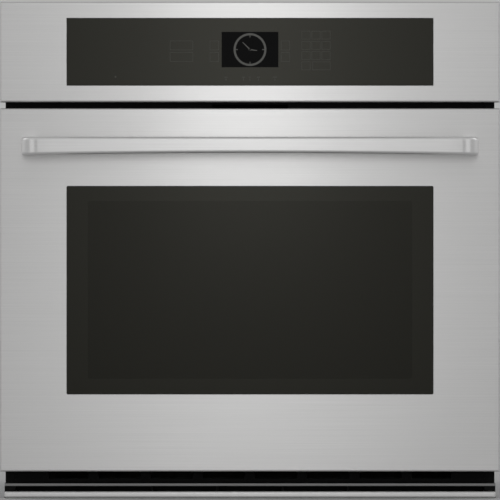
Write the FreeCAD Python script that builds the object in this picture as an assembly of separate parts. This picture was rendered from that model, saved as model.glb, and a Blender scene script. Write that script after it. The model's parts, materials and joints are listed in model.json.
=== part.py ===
import FreeCAD, Part
import math
import os

# Built-in wall oven. Millimetres. X is to the right, Y to the rear, Z up.
# The origin is the middle of the width, the back of the trim flanges (the cabinet
# face) and the underside of the base pan. The face hangs below the base.

V = FreeCAD.Vector
X_AXIS = V(1, 0, 0)
Y_AXIS = V(0, 1, 0)
Z_AXIS = V(0, 0, 1)

# Overall sizes
FACE_WIDTH = 762.0
FACE_HEIGHT = 756.5
FACE_DROP = 25.0
FACE_OVERHANG = 22.5
TOP_CLEARANCE = 25.5
CHASSIS_DEPTH = 585.0
DOOR_THICK = 38.0
DOOR_STANDOFF = 9.0
PANEL_HEIGHT = 153.1
PANEL_GAP = 9.6
DOOR_BOTTOM = 15.1

# Sheet metal and glass
SHEET = 1.2
FASCIA_SHEET = 1.5
FRAME_SHEET = 2.0
FRAME_STANDOFF = 3.0
GLASS = 4.0
PANE = 3.0
PANE_PITCH = 9.0
FACE_EDGE_ROUND = 2.5

# Front frame
ARM_SLOT_GAP = 1.0
ARM_SLOT_HALF = 9.0
LATCH_SLOT_LEFT = 6.0
LATCH_SLOT_RIGHT = 42.0
LATCH_SLOT_GAP = 1.5
FLUE_HALF = 58.0
FLUE_Y = 70.0
FLUE_RADIUS = 20.0
CHUTE_HALF = 60.0
CHUTE_BACK = 95.0
CHUTE_LOW = 5.6
CHUTE_HIGH = 8.4
FLUE_LOW = 0.6
FLUE_HIGH = 6.6
HEAD_RAIL_LAP = 12.0
TOP_RAIL = 12.0
VENT_SLOTS = 8
VENT_PITCH = 80.0
VENT_SLOT_HALF = 32.0
VENT_SLOT_LOW = 3.0
VENT_SLOT_HIGH = 13.0

# Cavity and insulation
INSULATION = 30.0
SIDE_GAP = 18.1
CAVITY_DEPTH = 480.0
CAVITY_FLOOR = 84.0
CAVITY_ROUND = 20.0
CAVITY_FLANGE = 12.0
GASKET_OUT = 16.0
GASKET_IN = 6.0
GASKET_ROUND = 30.0
MOUTH_TO_DOOR_TOP = 52.6
BAKE_GAP = 12.8
CAVITY_AXIS_RATIO = 0.5

# Trim
TRIM_FLANGE = 13.4
TRIM_INSET = 6.6
TRIM_LEG = 18.0
TRIM_TOP_GAP = 6.5
TRIM_SCREW_RADIUS = 2.25
TRIM_SCREW_LOW = 60.0
TRIM_SCREW_SPACING = 480.0

# Window
WINDOW_HALF = 279.8
WINDOW_RECESS = 0.4
WINDOW_BORDER_SIDE = 32.2
RETAINER_LAP = 15.0
PACK_LAP = 32.0
PACK_LAP_Z = 26.0
PACK_WALL = 2.0
PACK_LIP = 6.0
PACK_SETBACK = 12.0
INNER_GLASS_LAP = 16.0
WINDOW_LOW = 117.5
WINDOW_HIGH = 118.1
WINDOW_BORDER_LOW = 23.7
WINDOW_BORDER_HIGH = 22.9

# Control panel glass and display
PANEL_GLASS_HALF = 279.7
PANEL_GLASS_MARGIN = 24.8
GLASS_RECESS = 0.2
SEAT_LAP = 12.0
SEAT_LIP = 10.0
BRACKET_DEPTH = 22.0
BRACKET_INSET = 20.0
BRACKET_LAP = 6.0
DISPLAY_WIDTH = 100.0
DISPLAY_DEPTH = 8.0
DISPLAY_SHARE = 0.533
LOGIC_MARGIN = 12.0
BOARD = 1.6
DISPLAY_HEIGHT = 64.0

# Handle
HANDLE_HALF = 347.0
HANDLE_TOP_GAP = 44.5
HANDLE_HEIGHT = 28.0
HANDLE_RISE = 3.6
HANDLE_THICK = 22.0
HANDLE_REACH = 57.0
HANDLE_BEND = 26.0
HANDLE_INNER_BEND = 8.0
HANDLE_EDGE_ROUND = 8.0
HANDLE_FOOT = 5.0
HANDLE_SCREW_OFFSET = 7.0
SCREW_RADIUS = 2.0
HANDLE_SCREW_REACH = 12.0
HANDLE_SCREW_HEAD = 4.5
LINER_SCREW_HEAD = 4.2
LINER_SCREW_INSET = 20.0
LINER_SCREW_LOW = 60.0
LINER_SCREW_HIGH = 30.0

# Door hinge
PIVOT_Y = -22.0
PIVOT_Z = 31.0
HINGE_INSET = 32.0
ARM_THICK = 8.0
ARM_HALF_HEIGHT = 4.0
ARM_EYE = 7.0
PIVOT_PIN = 4.0
CHANNEL_WALL = 1.2
CHANNEL_WIDTH = 16.0
CHANNEL_FOOT = 18.0
CHANNEL_TOP = 260.0
ARM_REACH = 48.0
RECEIVER_WALL = 3.0
RECEIVER_BACK = 60.0
RECEIVER_HALF = 14.0
SPRING_LENGTH = 130.0
SPRING_PITCH = 8.0
SPRING_RADIUS = 4.4
SPRING_WIRE = 1.1
SPRING_RISE = 40.0

# Racks and rack supports
RUNG_RADIUS = 2.5
RUNG_FROM_WALL = 10.0
POST_FROM_WALL = 6.0
LEVEL_FIRST = 100.0
LEVEL_STEP = 60.0
LEVEL_COUNT = 7
LOWER_LEVEL = 1
ROLLOUT_LEVEL = 3
UPPER_LEVEL = 5
RACK_WIRE = 3.0
GRID_WIRE = 1.6
RACK_FRONT = 12.0
RACK_REAR_GAP = 55.0
ROLLOUT_REAR_GAP = 32.0
SLIDE_LIFT = 8.0
SLIDE_FRONT_GAP = 8.0
SEAT_SHEET = 1.5
SEAT_HEIGHT = 22.0
TIE_RADIUS = 3.0
RACK_FROM_WALL = 12.4
GRID_COUNT = 21
RACK_LIFT = 0.3
GLIDE_WIDTH = 4.0
GLIDE_HEIGHT = 12.0
GLIDE_GAP = 1.0

# Clearances
RUNNING_FIT = 0.05
MOVING_GAP = 0.4
SEAT_GAP = 0.5
HOLE_GAP = 0.5

# Fan, heaters, lamps
FAN_RADIUS = 70.0
FAN_BLADES = 10
FAN_DEPTH = 18.0
FAN_COVER_HALF = 150.0
FAN_COVER_DEPTH = 48.0
SHAFT = 4.0
RING_RADIUS = 95.0
TUBE = 3.5
BROIL_DROP = 16.0
ELEMENT_PITCH = 50.0
ELEMENT_BEND = 14.0
ELEMENT_SIDE = 78.0
ELEMENT_END = 60.0
TERMINAL_X = 30.0
LEAD_X = 12.0
RING_SETBACK = 23.0
FAN_SETBACK = 14.0
FAN_PLATE = 1.5
FAN_HUB = 9.0
FAN_BLADE_IN = 20.0
MOTOR_RADIUS = 34.0
MOTOR_LENGTH = 46.0
MOTOR_FOOT_HALF = 60.0
MOTOR_CORE_HALF = 40.0
COVER_RINGS = ((18, 8), (36, 14), (54, 20))
COVER_HOLE = 4.5
COVER_SLOTS = 9
COVER_SLOT_PITCH = 30.0
LAMP_X = 230.0
LAMP_DROP = 61.0
LAMP_CUP = 24.0
LAMP_LIP = 4.0
LAMP_SHEET = 1.5
LENS_DEPTH = 4.0
BULB_CAP = 7.0
BULB_RADIUS = 6.0
BULB_STEP = 10.0
SENSOR_X = 200.0
SENSOR_DROP = 36.0
SENSOR_REACH = 52.0
SENSOR_RADIUS = 2.4

# Cooling blower
BLOWER_X = 200.0
BLOWER_REACH = 85.0
BLOWER_HALF = 70.0
BLOWER_HEIGHT = 52.0
WHEEL_RADIUS = 52.0
WHEEL_BLADES = 20
WHEEL_GAP = 10.0
WHEEL_SHAFT = 3.0
WHEEL_HUB = 9.0
WHEEL_HUB_LENGTH = 14.0
SCROLL_ROUND = 55.0
SCROLL_INLET = 40.0
BLOWER_MOTOR_RADIUS = 28.0
BLOWER_MOTOR_HEIGHT = 32.0
DUCT_FOOT = 45.0
DUCT_DEPTH = 55.0
DUCT_STANDOFF = 3.8

# Latch and door switch
LATCH_X = 140.0
LATCH_Y = 25.0
LATCH_REACH = 45.0
LATCH_THICK = 3.0
SWITCH_X = -200.0
PLUNGER = 4.0

# Supply connection
INLET_BORE = 11.0
INLET_BARREL = 14.0
INLET_X = -270.0
INLET_RISE = 45.0
INLET_NOSE = 20.0
NUT_DEPTH = 4.0
SUPPLY_HALF = 50.0
SUPPLY_SIZE = 80.0
TERMINAL_SETBACK = 55.0
TERMINAL_HALF = 36.0
TERMINAL_DEPTH = 22.0
TERMINAL_HEIGHT = 10.0
TERMINAL_RIBS = 4
TERMINAL_RIB = 3.0
CUTOUT_PLACES = ((-170, 60), (20, 40))
CUTOUT_BASE = 12.0
CUTOUT_CAP = 8.0

# Bottom vent
LIP_HEIGHT = 10.0
BLADE_TOP = -3.2
BLADE_DROP = 4.0
RIB_PITCH = 100.0

# Derived sizes
HALF_FACE = FACE_WIDTH / 2
FACE_TOP = FACE_HEIGHT - FACE_DROP
HALF_CHASSIS = HALF_FACE - FACE_OVERHANG
CHASSIS_TOP = FACE_TOP - TOP_CLEARANCE
DOOR_TOP = FACE_TOP - PANEL_HEIGHT - PANEL_GAP
DOOR_BACK = -DOOR_STANDOFF
DOOR_FRONT = DOOR_BACK - DOOR_THICK
HALF_CAVITY = HALF_CHASSIS - SHEET - SIDE_GAP - INSULATION - SHEET
CAVITY_ROOF = DOOR_TOP - MOUTH_TO_DOOR_TOP
CAVITY_MID = (CAVITY_FLOOR + CAVITY_ROOF) * CAVITY_AXIS_RATIO
FLANGE_BACK = -FRAME_STANDOFF + FRAME_SHEET + SHEET
BLANKET_TOP = CAVITY_ROOF + SHEET + INSULATION
BLANKET_FLOOR = CAVITY_FLOOR - SHEET - BAKE_GAP
BLANKET_BACK = CAVITY_DEPTH + SHEET + INSULATION
SHELF = BLANKET_TOP + 1.8
SHELF_TOP = SHELF + SHEET
HALF_TRIM = HALF_FACE - TRIM_INSET
HALF_FRAME = HALF_TRIM - TRIM_FLANGE - FRAME_SHEET - SEAT_GAP
LINER_TOP = DOOR_TOP - 4.0
LINER_BOTTOM = 24.0
HALF_LINER = HALF_FACE - 9.0
WINDOW_Z0 = DOOR_BOTTOM + WINDOW_LOW
WINDOW_Z1 = DOOR_TOP - WINDOW_HIGH
HALF_WINDOW = HALF_FACE * WINDOW_HALF / 381.0
HALF_CLEAR = HALF_WINDOW - WINDOW_BORDER_SIDE
CLEAR_Z0 = WINDOW_Z0 + WINDOW_BORDER_LOW
CLEAR_Z1 = WINDOW_Z1 - WINDOW_BORDER_HIGH
PANEL_BOTTOM = FACE_TOP - PANEL_HEIGHT
HALF_PANEL_GLASS = HALF_FACE * PANEL_GLASS_HALF / 381.0
GLASS_Z0 = PANEL_BOTTOM + PANEL_GLASS_MARGIN
GLASS_Z1 = FACE_TOP - PANEL_GLASS_MARGIN
HALF_HANDLE = HALF_FACE * HANDLE_HALF / 381.0
HANDLE_TOP = DOOR_TOP - HANDLE_TOP_GAP
HANDLE_LOW = HANDLE_TOP - HANDLE_HEIGHT
HINGE_X = HALF_FACE - HINGE_INSET
REAR_PANEL = CHASSIS_DEPTH - 2 * SHEET
LATCH_Z = SHELF_TOP + 2.8
PLUNGER_Z = SHELF_TOP + 6.8
BROIL_Z = CAVITY_ROOF - BROIL_DROP
BAKE_Z = BLANKET_FLOOR + BAKE_GAP / 2
LAMP_Z = CAVITY_ROOF - LAMP_DROP
RAIL_Z = RUNG_RADIUS + RACK_WIRE + RACK_LIFT
RACK_BACK = CAVITY_DEPTH - RACK_REAR_GAP
ROLLOUT_BACK = RACK_BACK - ROLLOUT_REAR_GAP
RING_LEAD_Z = CAVITY_MID + math.sqrt(RING_RADIUS ** 2 - LEAD_X ** 2)
BLOWER_Y = BLANKET_BACK + DUCT_STANDOFF - BLOWER_REACH


def block(x0, x1, y0, y1, z0, z1):
    return Part.makeBox(x1 - x0, y1 - y0, z1 - z0, V(x0, y0, z0))


def slab(half, y0, y1, z0, z1):
    return block(-half, half, y0, y1, z0, z1)


def rod(start, end, radius):
    run = end - start
    return Part.makeCylinder(radius, run.Length, start, run)


def disc(x, z, y0, y1, radius):
    return Part.makeCylinder(radius, y1 - y0, V(x, y0, z), Y_AXIS)


def post(x, y, z0, z1, radius):
    return Part.makeCylinder(radius, z1 - z0, V(x, y, z0), Z_AXIS)


def join(shapes):
    return shapes[0].fuse(shapes[1:]).removeSplitter()


def group(shapes):
    return Part.makeCompound(shapes)


def mirrored(shape):
    return shape.mirror(V(0, 0, 0), X_AXIS)


def both_sides(shape):
    return group([shape, mirrored(shape)])


def along(edge, axis):
    a = edge.Vertexes[0].Point
    b = edge.Vertexes[-1].Point
    return (b - a).Length > 0 and abs((b - a).normalize().dot(axis)) > 0.999


def rounded_slab(half, y0, y1, z0, z1, radius):
    body = slab(half, y0, y1, z0, z1)
    return body.makeFillet(radius, [e for e in body.Edges if along(e, Y_AXIS)])


def softened_front(body, y, radius):
    edges = [e for e in body.Edges if all(abs(v.Y - y) < 1e-6 for v in e.Vertexes)]
    return body.makeFillet(radius, edges)


def bent_rod(points, radius, bend):
    """Round bar along a path of straight runs with rounded corners."""
    pieces = []
    last = points[0]
    for before, corner, after in zip(points, points[1:], points[2:]):
        back = (before - corner).normalize()
        ahead = (after - corner).normalize()
        half_angle = back.getAngle(ahead) / 2
        reach = bend / math.tan(half_angle)
        start = corner + back * reach
        end = corner + ahead * reach
        bisector = (back + ahead).normalize()
        middle = corner + bisector * (bend / math.sin(half_angle) - bend)
        pieces.append(Part.makeLine(last, start))
        pieces.append(Part.Arc(start, middle, end).toShape())
        last = end
    pieces.append(Part.makeLine(last, points[-1]))
    path = Part.Wire(pieces)
    first = (points[1] - points[0]).normalize()
    profile = Part.Wire([Part.makeCircle(radius, points[0], first)])
    return path.makePipeShell([profile], True, False)


def slot_row(count, pitch, middle, half_length, y0, y1, z0, z1):
    first = middle - pitch * (count - 1) / 2
    centres = [first + pitch * i for i in range(count)]
    return [block(c - half_length, c + half_length, y0, y1, z0, z1) for c in centres]


# ---- chassis ----

def base_pan():
    inside = HALF_CHASSIS - SHEET
    floor = slab(inside, 0, REAR_PANEL, 0, SHEET)
    lip = block(inside - SHEET, inside, 80, REAR_PANEL, SHEET, 13)
    slots = slot_row(6, 90, 0, 30, 470, 476, -1, SHEET + 1)
    return join([floor, lip, mirrored(lip)]).cut(slots)


def side_panel():
    inside = HALF_CHASSIS - SHEET
    top = CHASSIS_TOP - SHEET
    wall = block(inside, HALF_CHASSIS, 0, CHASSIS_DEPTH, 0, top)
    front = block(inside - 12, inside, 0, SHEET, 70, SHELF - 2)
    rear = block(inside - 12, inside, CHASSIS_DEPTH - SHEET, CHASSIS_DEPTH, 0, top)
    roof = block(inside - 12, inside, 20, REAR_PANEL - 2, top - SHEET, top)
    holes = [post(inside - 6, y, top - 3, top + 1, 2.0) for y in top_screw_rows()]
    slots = []
    for level in range(5):
        z = SHELF + 60 + 12 * level
        slots.append(block(inside - 1, HALF_CHASSIS + 1, 300, 420, z, z + 5))
    return join([wall, front, rear, roof]).cut(holes + slots)


def rear_panel():
    inside = HALF_CHASSIS - SHEET
    plate = slab(inside, REAR_PANEL, REAR_PANEL + SHEET, SHEET, CHASSIS_TOP - SHEET)
    inlet = disc(INLET_X, inlet_level(), REAR_PANEL - 1, CHASSIS_DEPTH, INLET_BARREL)
    slots = []
    for level in range(4):
        z = SHELF + 80 + 12 * level
        slots += slot_row(3, 110, -60, 45, REAR_PANEL - 1, CHASSIS_DEPTH, z, z + 5)
    return plate.cut([inlet] + slots)


def top_screw_rows():
    return [60, CHASSIS_DEPTH / 2, CHASSIS_DEPTH - 60]


def top_cover():
    plate = slab(HALF_CHASSIS, 0, CHASSIS_DEPTH, CHASSIS_TOP - SHEET, CHASSIS_TOP)
    holes = []
    for y in top_screw_rows():
        hole = post(HALF_CHASSIS - SHEET - 6, y, CHASSIS_TOP - 3, CHASSIS_TOP + 1, 2.0)
        holes += [hole, mirrored(hole)]
    for y in (170, 190, 210, 400, 420, 440):
        holes += slot_row(5, 100, 0, 40, y, y + 6, CHASSIS_TOP - 3, CHASSIS_TOP + 1)
    return plate.cut(holes)


def top_screws():
    screws = []
    for y in top_screw_rows():
        x = HALF_CHASSIS - SHEET - 6
        shank = post(x, y, CHASSIS_TOP - SHEET * 2, CHASSIS_TOP, 2.0)
        head = post(x, y, CHASSIS_TOP, CHASSIS_TOP + 2.2, 4.0)
        screw = join([shank, head])
        screws += [screw, mirrored(screw)]
    return group(screws)


def compartment_shelf():
    inside = HALF_CHASSIS - SHEET
    plate = slab(inside, SHEET, REAR_PANEL, SHELF, SHELF_TOP)
    tube = post(0, 70, SHELF - 1, SHELF_TOP + 1, 20 + SEAT_GAP)
    gap = SEAT_GAP
    duct = block(
        BLOWER_X - BLOWER_HALF - gap, BLOWER_X + BLOWER_HALF + gap,
        BLOWER_Y + BLOWER_REACH - gap, REAR_PANEL, SHELF - 1, SHELF_TOP + 1,
    )
    return plate.cut([tube, duct])


def front_frame():
    """Two stiles and three rails of one sheet thickness, butted edge to edge."""
    y0 = -FRAME_STANDOFF
    y1 = y0 + FRAME_SHEET
    top = FACE_TOP - TRIM_TOP_GAP
    stile = block(HALF_CAVITY, HALF_FRAME, y0, y1, 0, top)
    arm = block(
        HINGE_X - ARM_THICK / 2 - ARM_SLOT_GAP, HINGE_X + ARM_THICK / 2 + ARM_SLOT_GAP, -5, 5,
        PIVOT_Z - ARM_SLOT_HALF, PIVOT_Z + ARM_SLOT_HALF,
    )
    stile = stile.cut(arm)
    foot = slab(HALF_CAVITY, y0, y1, 0, CAVITY_FLOOR)
    foot = foot.cut(
        slot_row(VENT_SLOTS, VENT_PITCH, 0, VENT_SLOT_HALF, -5, 5, VENT_SLOT_LOW, VENT_SLOT_HIGH)
    )
    latch = block(
        LATCH_X - LATCH_SLOT_LEFT, LATCH_X + LATCH_SLOT_RIGHT, -5, 5,
        LATCH_Z - LATCH_SLOT_GAP, LATCH_Z + LATCH_THICK + LATCH_SLOT_GAP,
    )
    plunger = disc(SWITCH_X, PLUNGER_Z, -5, 5, PLUNGER + HOLE_GAP)
    flue = slab(FLUE_HALF, -5, 5, DOOR_TOP + FLUE_LOW, DOOR_TOP + FLUE_HIGH)
    head = slab(HALF_CAVITY, y0, y1, CAVITY_ROOF, PANEL_BOTTOM + HEAD_RAIL_LAP)
    head = head.cut([latch, plunger, flue])
    crown = slab(HALF_CAVITY, y0, y1, top - TOP_RAIL, top)
    return group([stile, mirrored(stile), foot, head, crown])


def side_trim():
    inner = HALF_TRIM - TRIM_FLANGE
    flange = block(inner, HALF_TRIM, -FRAME_STANDOFF, 0, 0, FACE_TOP - TRIM_TOP_GAP)
    leg = block(
        inner - FRAME_SHEET, inner, -FRAME_STANDOFF, TRIM_LEG, 0, FACE_TOP - TRIM_TOP_GAP,
    )
    middle = inner + TRIM_FLANGE / 2
    holes = []
    for z in (TRIM_SCREW_LOW, TRIM_SCREW_LOW + TRIM_SCREW_SPACING):
        holes.append(disc(middle, z, -5, 5, TRIM_SCREW_RADIUS))
    return join([flange, leg]).cut(holes)


# ---- cavity ----

def terminal_holes(z, y0, y1):
    return [disc(x, z, y0, y1, TUBE + HOLE_GAP) for x in (-TERMINAL_X, TERMINAL_X)]


def back_holes(y0, y1):
    holes = terminal_holes(BROIL_Z, y0, y1)
    holes.append(disc(0, CAVITY_MID, y0, y1, 12))
    holes.append(disc(-SENSOR_X, CAVITY_ROOF - SENSOR_DROP, y0, y1, SENSOR_RADIUS + HOLE_GAP))
    for x in (-LAMP_X, LAMP_X):
        holes.append(disc(x, LAMP_Z, y0, y1, LAMP_CUP + HOLE_GAP))
    for x in (-LEAD_X, LEAD_X):
        holes.append(disc(x, RING_LEAD_Z, y0, y1, TUBE + HOLE_GAP))
    return holes


def oven_cavity():
    outer = rounded_slab(
        HALF_CAVITY + SHEET, -FRAME_STANDOFF + FRAME_SHEET, CAVITY_DEPTH + SHEET,
        CAVITY_FLOOR - SHEET, CAVITY_ROOF + SHEET, CAVITY_ROUND + SHEET,
    )
    flange = rounded_slab(
        HALF_CAVITY + SHEET + CAVITY_FLANGE, -FRAME_STANDOFF + FRAME_SHEET,
        FLANGE_BACK, CAVITY_FLOOR - SHEET - CAVITY_FLANGE,
        CAVITY_ROOF + SHEET + CAVITY_FLANGE, CAVITY_ROUND,
    )
    inner = rounded_slab(
        HALF_CAVITY, -10, CAVITY_DEPTH, CAVITY_FLOOR, CAVITY_ROOF, CAVITY_ROUND,
    )
    flue = post(0, FLUE_Y, CAVITY_ROOF - 1, CAVITY_ROOF + 3, FLUE_RADIUS)
    holes = back_holes(CAVITY_DEPTH - 1, CAVITY_DEPTH + 3)
    return join([outer, flange]).cut([inner, flue] + holes)


def insulation():
    """Side, roof, floor and rear batts around the cavity, each a solid of its own."""
    x = HALF_CAVITY + SHEET
    low = BLANKET_FLOOR - INSULATION
    side = block(x, x + INSULATION, FLANGE_BACK, BLANKET_BACK, low, BLANKET_TOP)
    roof = slab(x, FLANGE_BACK, BLANKET_BACK, CAVITY_ROOF + SHEET, BLANKET_TOP)
    roof = roof.cut(post(0, FLUE_Y, CAVITY_ROOF, BLANKET_TOP + 1, FLUE_RADIUS + SEAT_GAP))
    floor = slab(x, FLANGE_BACK, BLANKET_BACK, low, BLANKET_FLOOR)
    rear = slab(x, CAVITY_DEPTH + SHEET, BLANKET_BACK, BLANKET_FLOOR, CAVITY_ROOF + SHEET)
    holes = back_holes(CAVITY_DEPTH, BLANKET_BACK + 1)
    holes += terminal_holes(BAKE_Z, CAVITY_DEPTH, BLANKET_BACK + 1)
    return group([side, mirrored(side), roof, floor, rear.cut(holes)])


def level(index):
    return LEVEL_FIRST + LEVEL_STEP * index


def rack_ladder():
    x_post = HALF_CAVITY - POST_FROM_WALL
    x_rung = HALF_CAVITY - RUNG_FROM_WALL
    top = min(level(LEVEL_COUNT - 1) + 15, CAVITY_ROOF - 25)
    low = LEVEL_FIRST - 4
    bars = []
    for y in (40, CAVITY_DEPTH / 2, CAVITY_DEPTH - 40):
        bars.append(rod(V(x_post, y, low), V(x_post, y, top), RUNG_RADIUS))
    for index in range(LEVEL_COUNT):
        z = level(index)
        if z < top:
            start = V(x_rung, 30, z)
            bars.append(rod(start, V(x_rung, CAVITY_DEPTH - 30, z), RUNG_RADIUS))
    for y in (40, CAVITY_DEPTH - 40):
        for z in (low + 20, top - 20):
            bars.append(rod(V(x_post, y, z), V(HALF_CAVITY, y, z), 2.0))
    return join(bars)


def fan_cover():
    front = CAVITY_DEPTH - FAN_COVER_DEPTH
    half = FAN_COVER_HALF
    z0 = CAVITY_MID - half
    z1 = CAVITY_MID + half
    outer = slab(half, front, CAVITY_DEPTH, z0, z1)
    outer = softened_front(outer, front, 6)
    inner = slab(half - 1, front + 1, CAVITY_DEPTH + 1, z0 + 1, z1 - 1)
    inner = softened_front(inner, front + 1, 5)
    holes = []
    for ring, count in COVER_RINGS:
        for index in range(count):
            angle = 2 * math.pi * index / count
            x = ring * math.cos(angle)
            z = CAVITY_MID + ring * math.sin(angle)
            holes.append(disc(x, z, front - 1, front + 2, COVER_HOLE))
    for index in range(COVER_SLOTS):
        z = z0 + COVER_SLOT_PITCH * (index + 1)
        for side in (-1, 1):
            x = side * half
            holes.append(block(x - 2, x + 2, front + 14, front + 36, z - 8, z + 8))
    return outer.cut(inner).cut(holes)


def convection_fan():
    y0 = CAVITY_DEPTH - FAN_SETBACK - FAN_DEPTH
    y1 = CAVITY_DEPTH - FAN_SETBACK
    parts = [disc(0, CAVITY_MID, y1 - FAN_PLATE, y1, FAN_RADIUS)]
    parts.append(disc(0, CAVITY_MID, y0, y1, FAN_HUB))
    parts.append(disc(0, CAVITY_MID, y1, BLANKET_BACK + 20, SHAFT))
    for index in range(FAN_BLADES):
        blade = block(FAN_BLADE_IN, FAN_RADIUS - 2, y0, y1 - 1, CAVITY_MID - 0.6, CAVITY_MID + 0.6)
        blade.rotate(V(0, 0, CAVITY_MID), Y_AXIS, 360 * index / FAN_BLADES)
        parts.append(blade)
    return join(parts)


def convection_element():
    y = CAVITY_DEPTH - RING_SETBACK
    z = CAVITY_MID
    gap = math.degrees(math.asin(LEAD_X / RING_RADIUS))
    ring = Part.makeTorus(RING_RADIUS, TUBE, V(0, 0, 0), Z_AXIS, -180, 180, 360 - 2 * gap)
    ring.rotate(V(0, 0, 0), Z_AXIS, 90 + gap)
    ring.rotate(V(0, 0, 0), X_AXIS, 90)
    ring.translate(V(0, y, z))
    parts = [ring]
    for x in (-LEAD_X, LEAD_X):
        parts.append(Part.makeSphere(TUBE, V(x, y, RING_LEAD_Z)))
        parts.append(disc(x, RING_LEAD_Z, y, BLANKET_BACK + 3, TUBE))
    return join(parts)


def convection_motor():
    y = BLANKET_BACK
    plate = block(
        -MOTOR_FOOT_HALF, MOTOR_FOOT_HALF, y, y + FAN_PLATE,
        CAVITY_MID - MOTOR_CORE_HALF, CAVITY_MID + MOTOR_CORE_HALF,
    )
    body = disc(0, CAVITY_MID, y + FAN_PLATE, y + MOTOR_LENGTH, MOTOR_RADIUS)
    cap = disc(0, CAVITY_MID, y + MOTOR_LENGTH, y + MOTOR_LENGTH + 10, 3 * SHAFT)
    core = block(
        -MOTOR_CORE_HALF, MOTOR_CORE_HALF, y + 10, y + MOTOR_LENGTH - 12,
        CAVITY_MID - MOTOR_CORE_HALF + 10, CAVITY_MID + MOTOR_CORE_HALF - 10,
    )
    bore = disc(0, CAVITY_MID, y - 1, y + 22, SHAFT + RUNNING_FIT)
    return join([plate, body, cap, core]).cut(bore)


def element_path(z, outer, front, rear, back):
    """Half of the heater's path, from its terminal at the rear to the front bend."""
    near = front + TERMINAL_X
    points = [V(-TERMINAL_X, back, z), V(-TERMINAL_X, near, z)]
    legs = int((outer - TERMINAL_X) // ELEMENT_PITCH)
    x = -TERMINAL_X
    for index in range(legs):
        x -= ELEMENT_PITCH
        points.append(V(x, near, z))
        near = rear if near != rear else front + TERMINAL_X
        points.append(V(x, near, z))
    points[-1] = V(x, front, z)
    return points


def heater(z, outer, front, rear):
    left = element_path(z, outer, front, rear, BLANKET_BACK + 6)
    right = [V(-p.x, p.y, p.z) for p in reversed(left)]
    return bent_rod(left + right, TUBE, ELEMENT_BEND)


def broil_element():
    """Grill heater with two flat bars that hang it from the cavity roof."""
    parts = [heater(BROIL_Z, HALF_CAVITY - ELEMENT_SIDE, ELEMENT_END, CAVITY_DEPTH - ELEMENT_END)]
    for y in (CAVITY_DEPTH * 0.27, CAVITY_DEPTH * 0.75):
        parts.append(slab(HALF_CAVITY - ELEMENT_SIDE + 8, y, y + 2, BROIL_Z + TUBE - 1, CAVITY_ROOF))
    return join(parts)


def bake_element():
    return heater(BAKE_Z, HALF_CAVITY - ELEMENT_SIDE, ELEMENT_END, CAVITY_DEPTH - ELEMENT_END)


def cavity_probe():
    z = CAVITY_ROOF - SENSOR_DROP
    probe = disc(-SENSOR_X, z, CAVITY_DEPTH - SENSOR_REACH, BLANKET_BACK + 4, SENSOR_RADIUS)
    flange = disc(-SENSOR_X, z, CAVITY_DEPTH - 1.5, CAVITY_DEPTH, 9)
    return join([probe, flange])


def lamp_housings():
    y = CAVITY_DEPTH
    cup = disc(LAMP_X, LAMP_Z, y - LAMP_SHEET, BLANKET_BACK + 1 + LAMP_SHEET, LAMP_CUP)
    flange = disc(LAMP_X, LAMP_Z, y - LAMP_SHEET, y, LAMP_CUP + LAMP_LIP)
    hollow = disc(LAMP_X, LAMP_Z, y - 2, BLANKET_BACK + 1, LAMP_CUP - LAMP_SHEET)
    return both_sides(join([cup, flange]).cut(hollow))


def lamp_bulbs():
    y = BLANKET_BACK + 1
    cap = disc(LAMP_X, LAMP_Z, y - BULB_STEP, y, BULB_CAP)
    glass = disc(LAMP_X, LAMP_Z, y - 2 * BULB_STEP, y - BULB_STEP, BULB_RADIUS)
    tip = Part.makeSphere(BULB_RADIUS, V(LAMP_X, y - 2 * BULB_STEP, LAMP_Z))
    return both_sides(join([cap, glass, tip]))


def lamp_lenses():
    y = CAVITY_DEPTH - LAMP_SHEET
    lens = disc(LAMP_X, LAMP_Z, y - LENS_DEPTH, y, LAMP_CUP + LAMP_LIP)
    edges = [e for e in lens.Edges if all(abs(v.Y - y + LENS_DEPTH) < 1e-6 for v in e.Vertexes)]
    return both_sides(lens.makeFillet(2.5, edges))


def smoke_vent():
    low = DOOR_TOP - CHUTE_LOW
    high = DOOR_TOP + CHUTE_HIGH
    tube = post(0, FLUE_Y, CAVITY_ROOF, low + 2, FLUE_RADIUS)
    chute = slab(CHUTE_HALF, -FRAME_STANDOFF + FRAME_SHEET, CHUTE_BACK, low, high)
    bore = post(0, FLUE_Y, CAVITY_ROOF - 1, low + 4, FLUE_RADIUS - SHEET)
    hollow = slab(
        CHUTE_HALF - SHEET, -FRAME_STANDOFF - 2, CHUTE_BACK - SHEET, low + SHEET, high - SHEET,
    )
    return join([tube, chute]).cut([bore, hollow])


def door_gasket():
    y0 = DOOR_BACK + MOVING_GAP
    outer = rounded_slab(
        HALF_CAVITY + GASKET_OUT, y0, -FRAME_STANDOFF, CAVITY_FLOOR - GASKET_OUT + 2,
        CAVITY_ROOF + GASKET_OUT - 2, GASKET_ROUND,
    )
    inner = rounded_slab(
        HALF_CAVITY + GASKET_IN, y0 - 1, 0, CAVITY_FLOOR - GASKET_IN + 2,
        CAVITY_ROOF + GASKET_IN - 2, GASKET_ROUND - 8,
    )
    return softened_front(outer.cut(inner), y0, 2.0)


# ---- rear and electronics compartment ----

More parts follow.
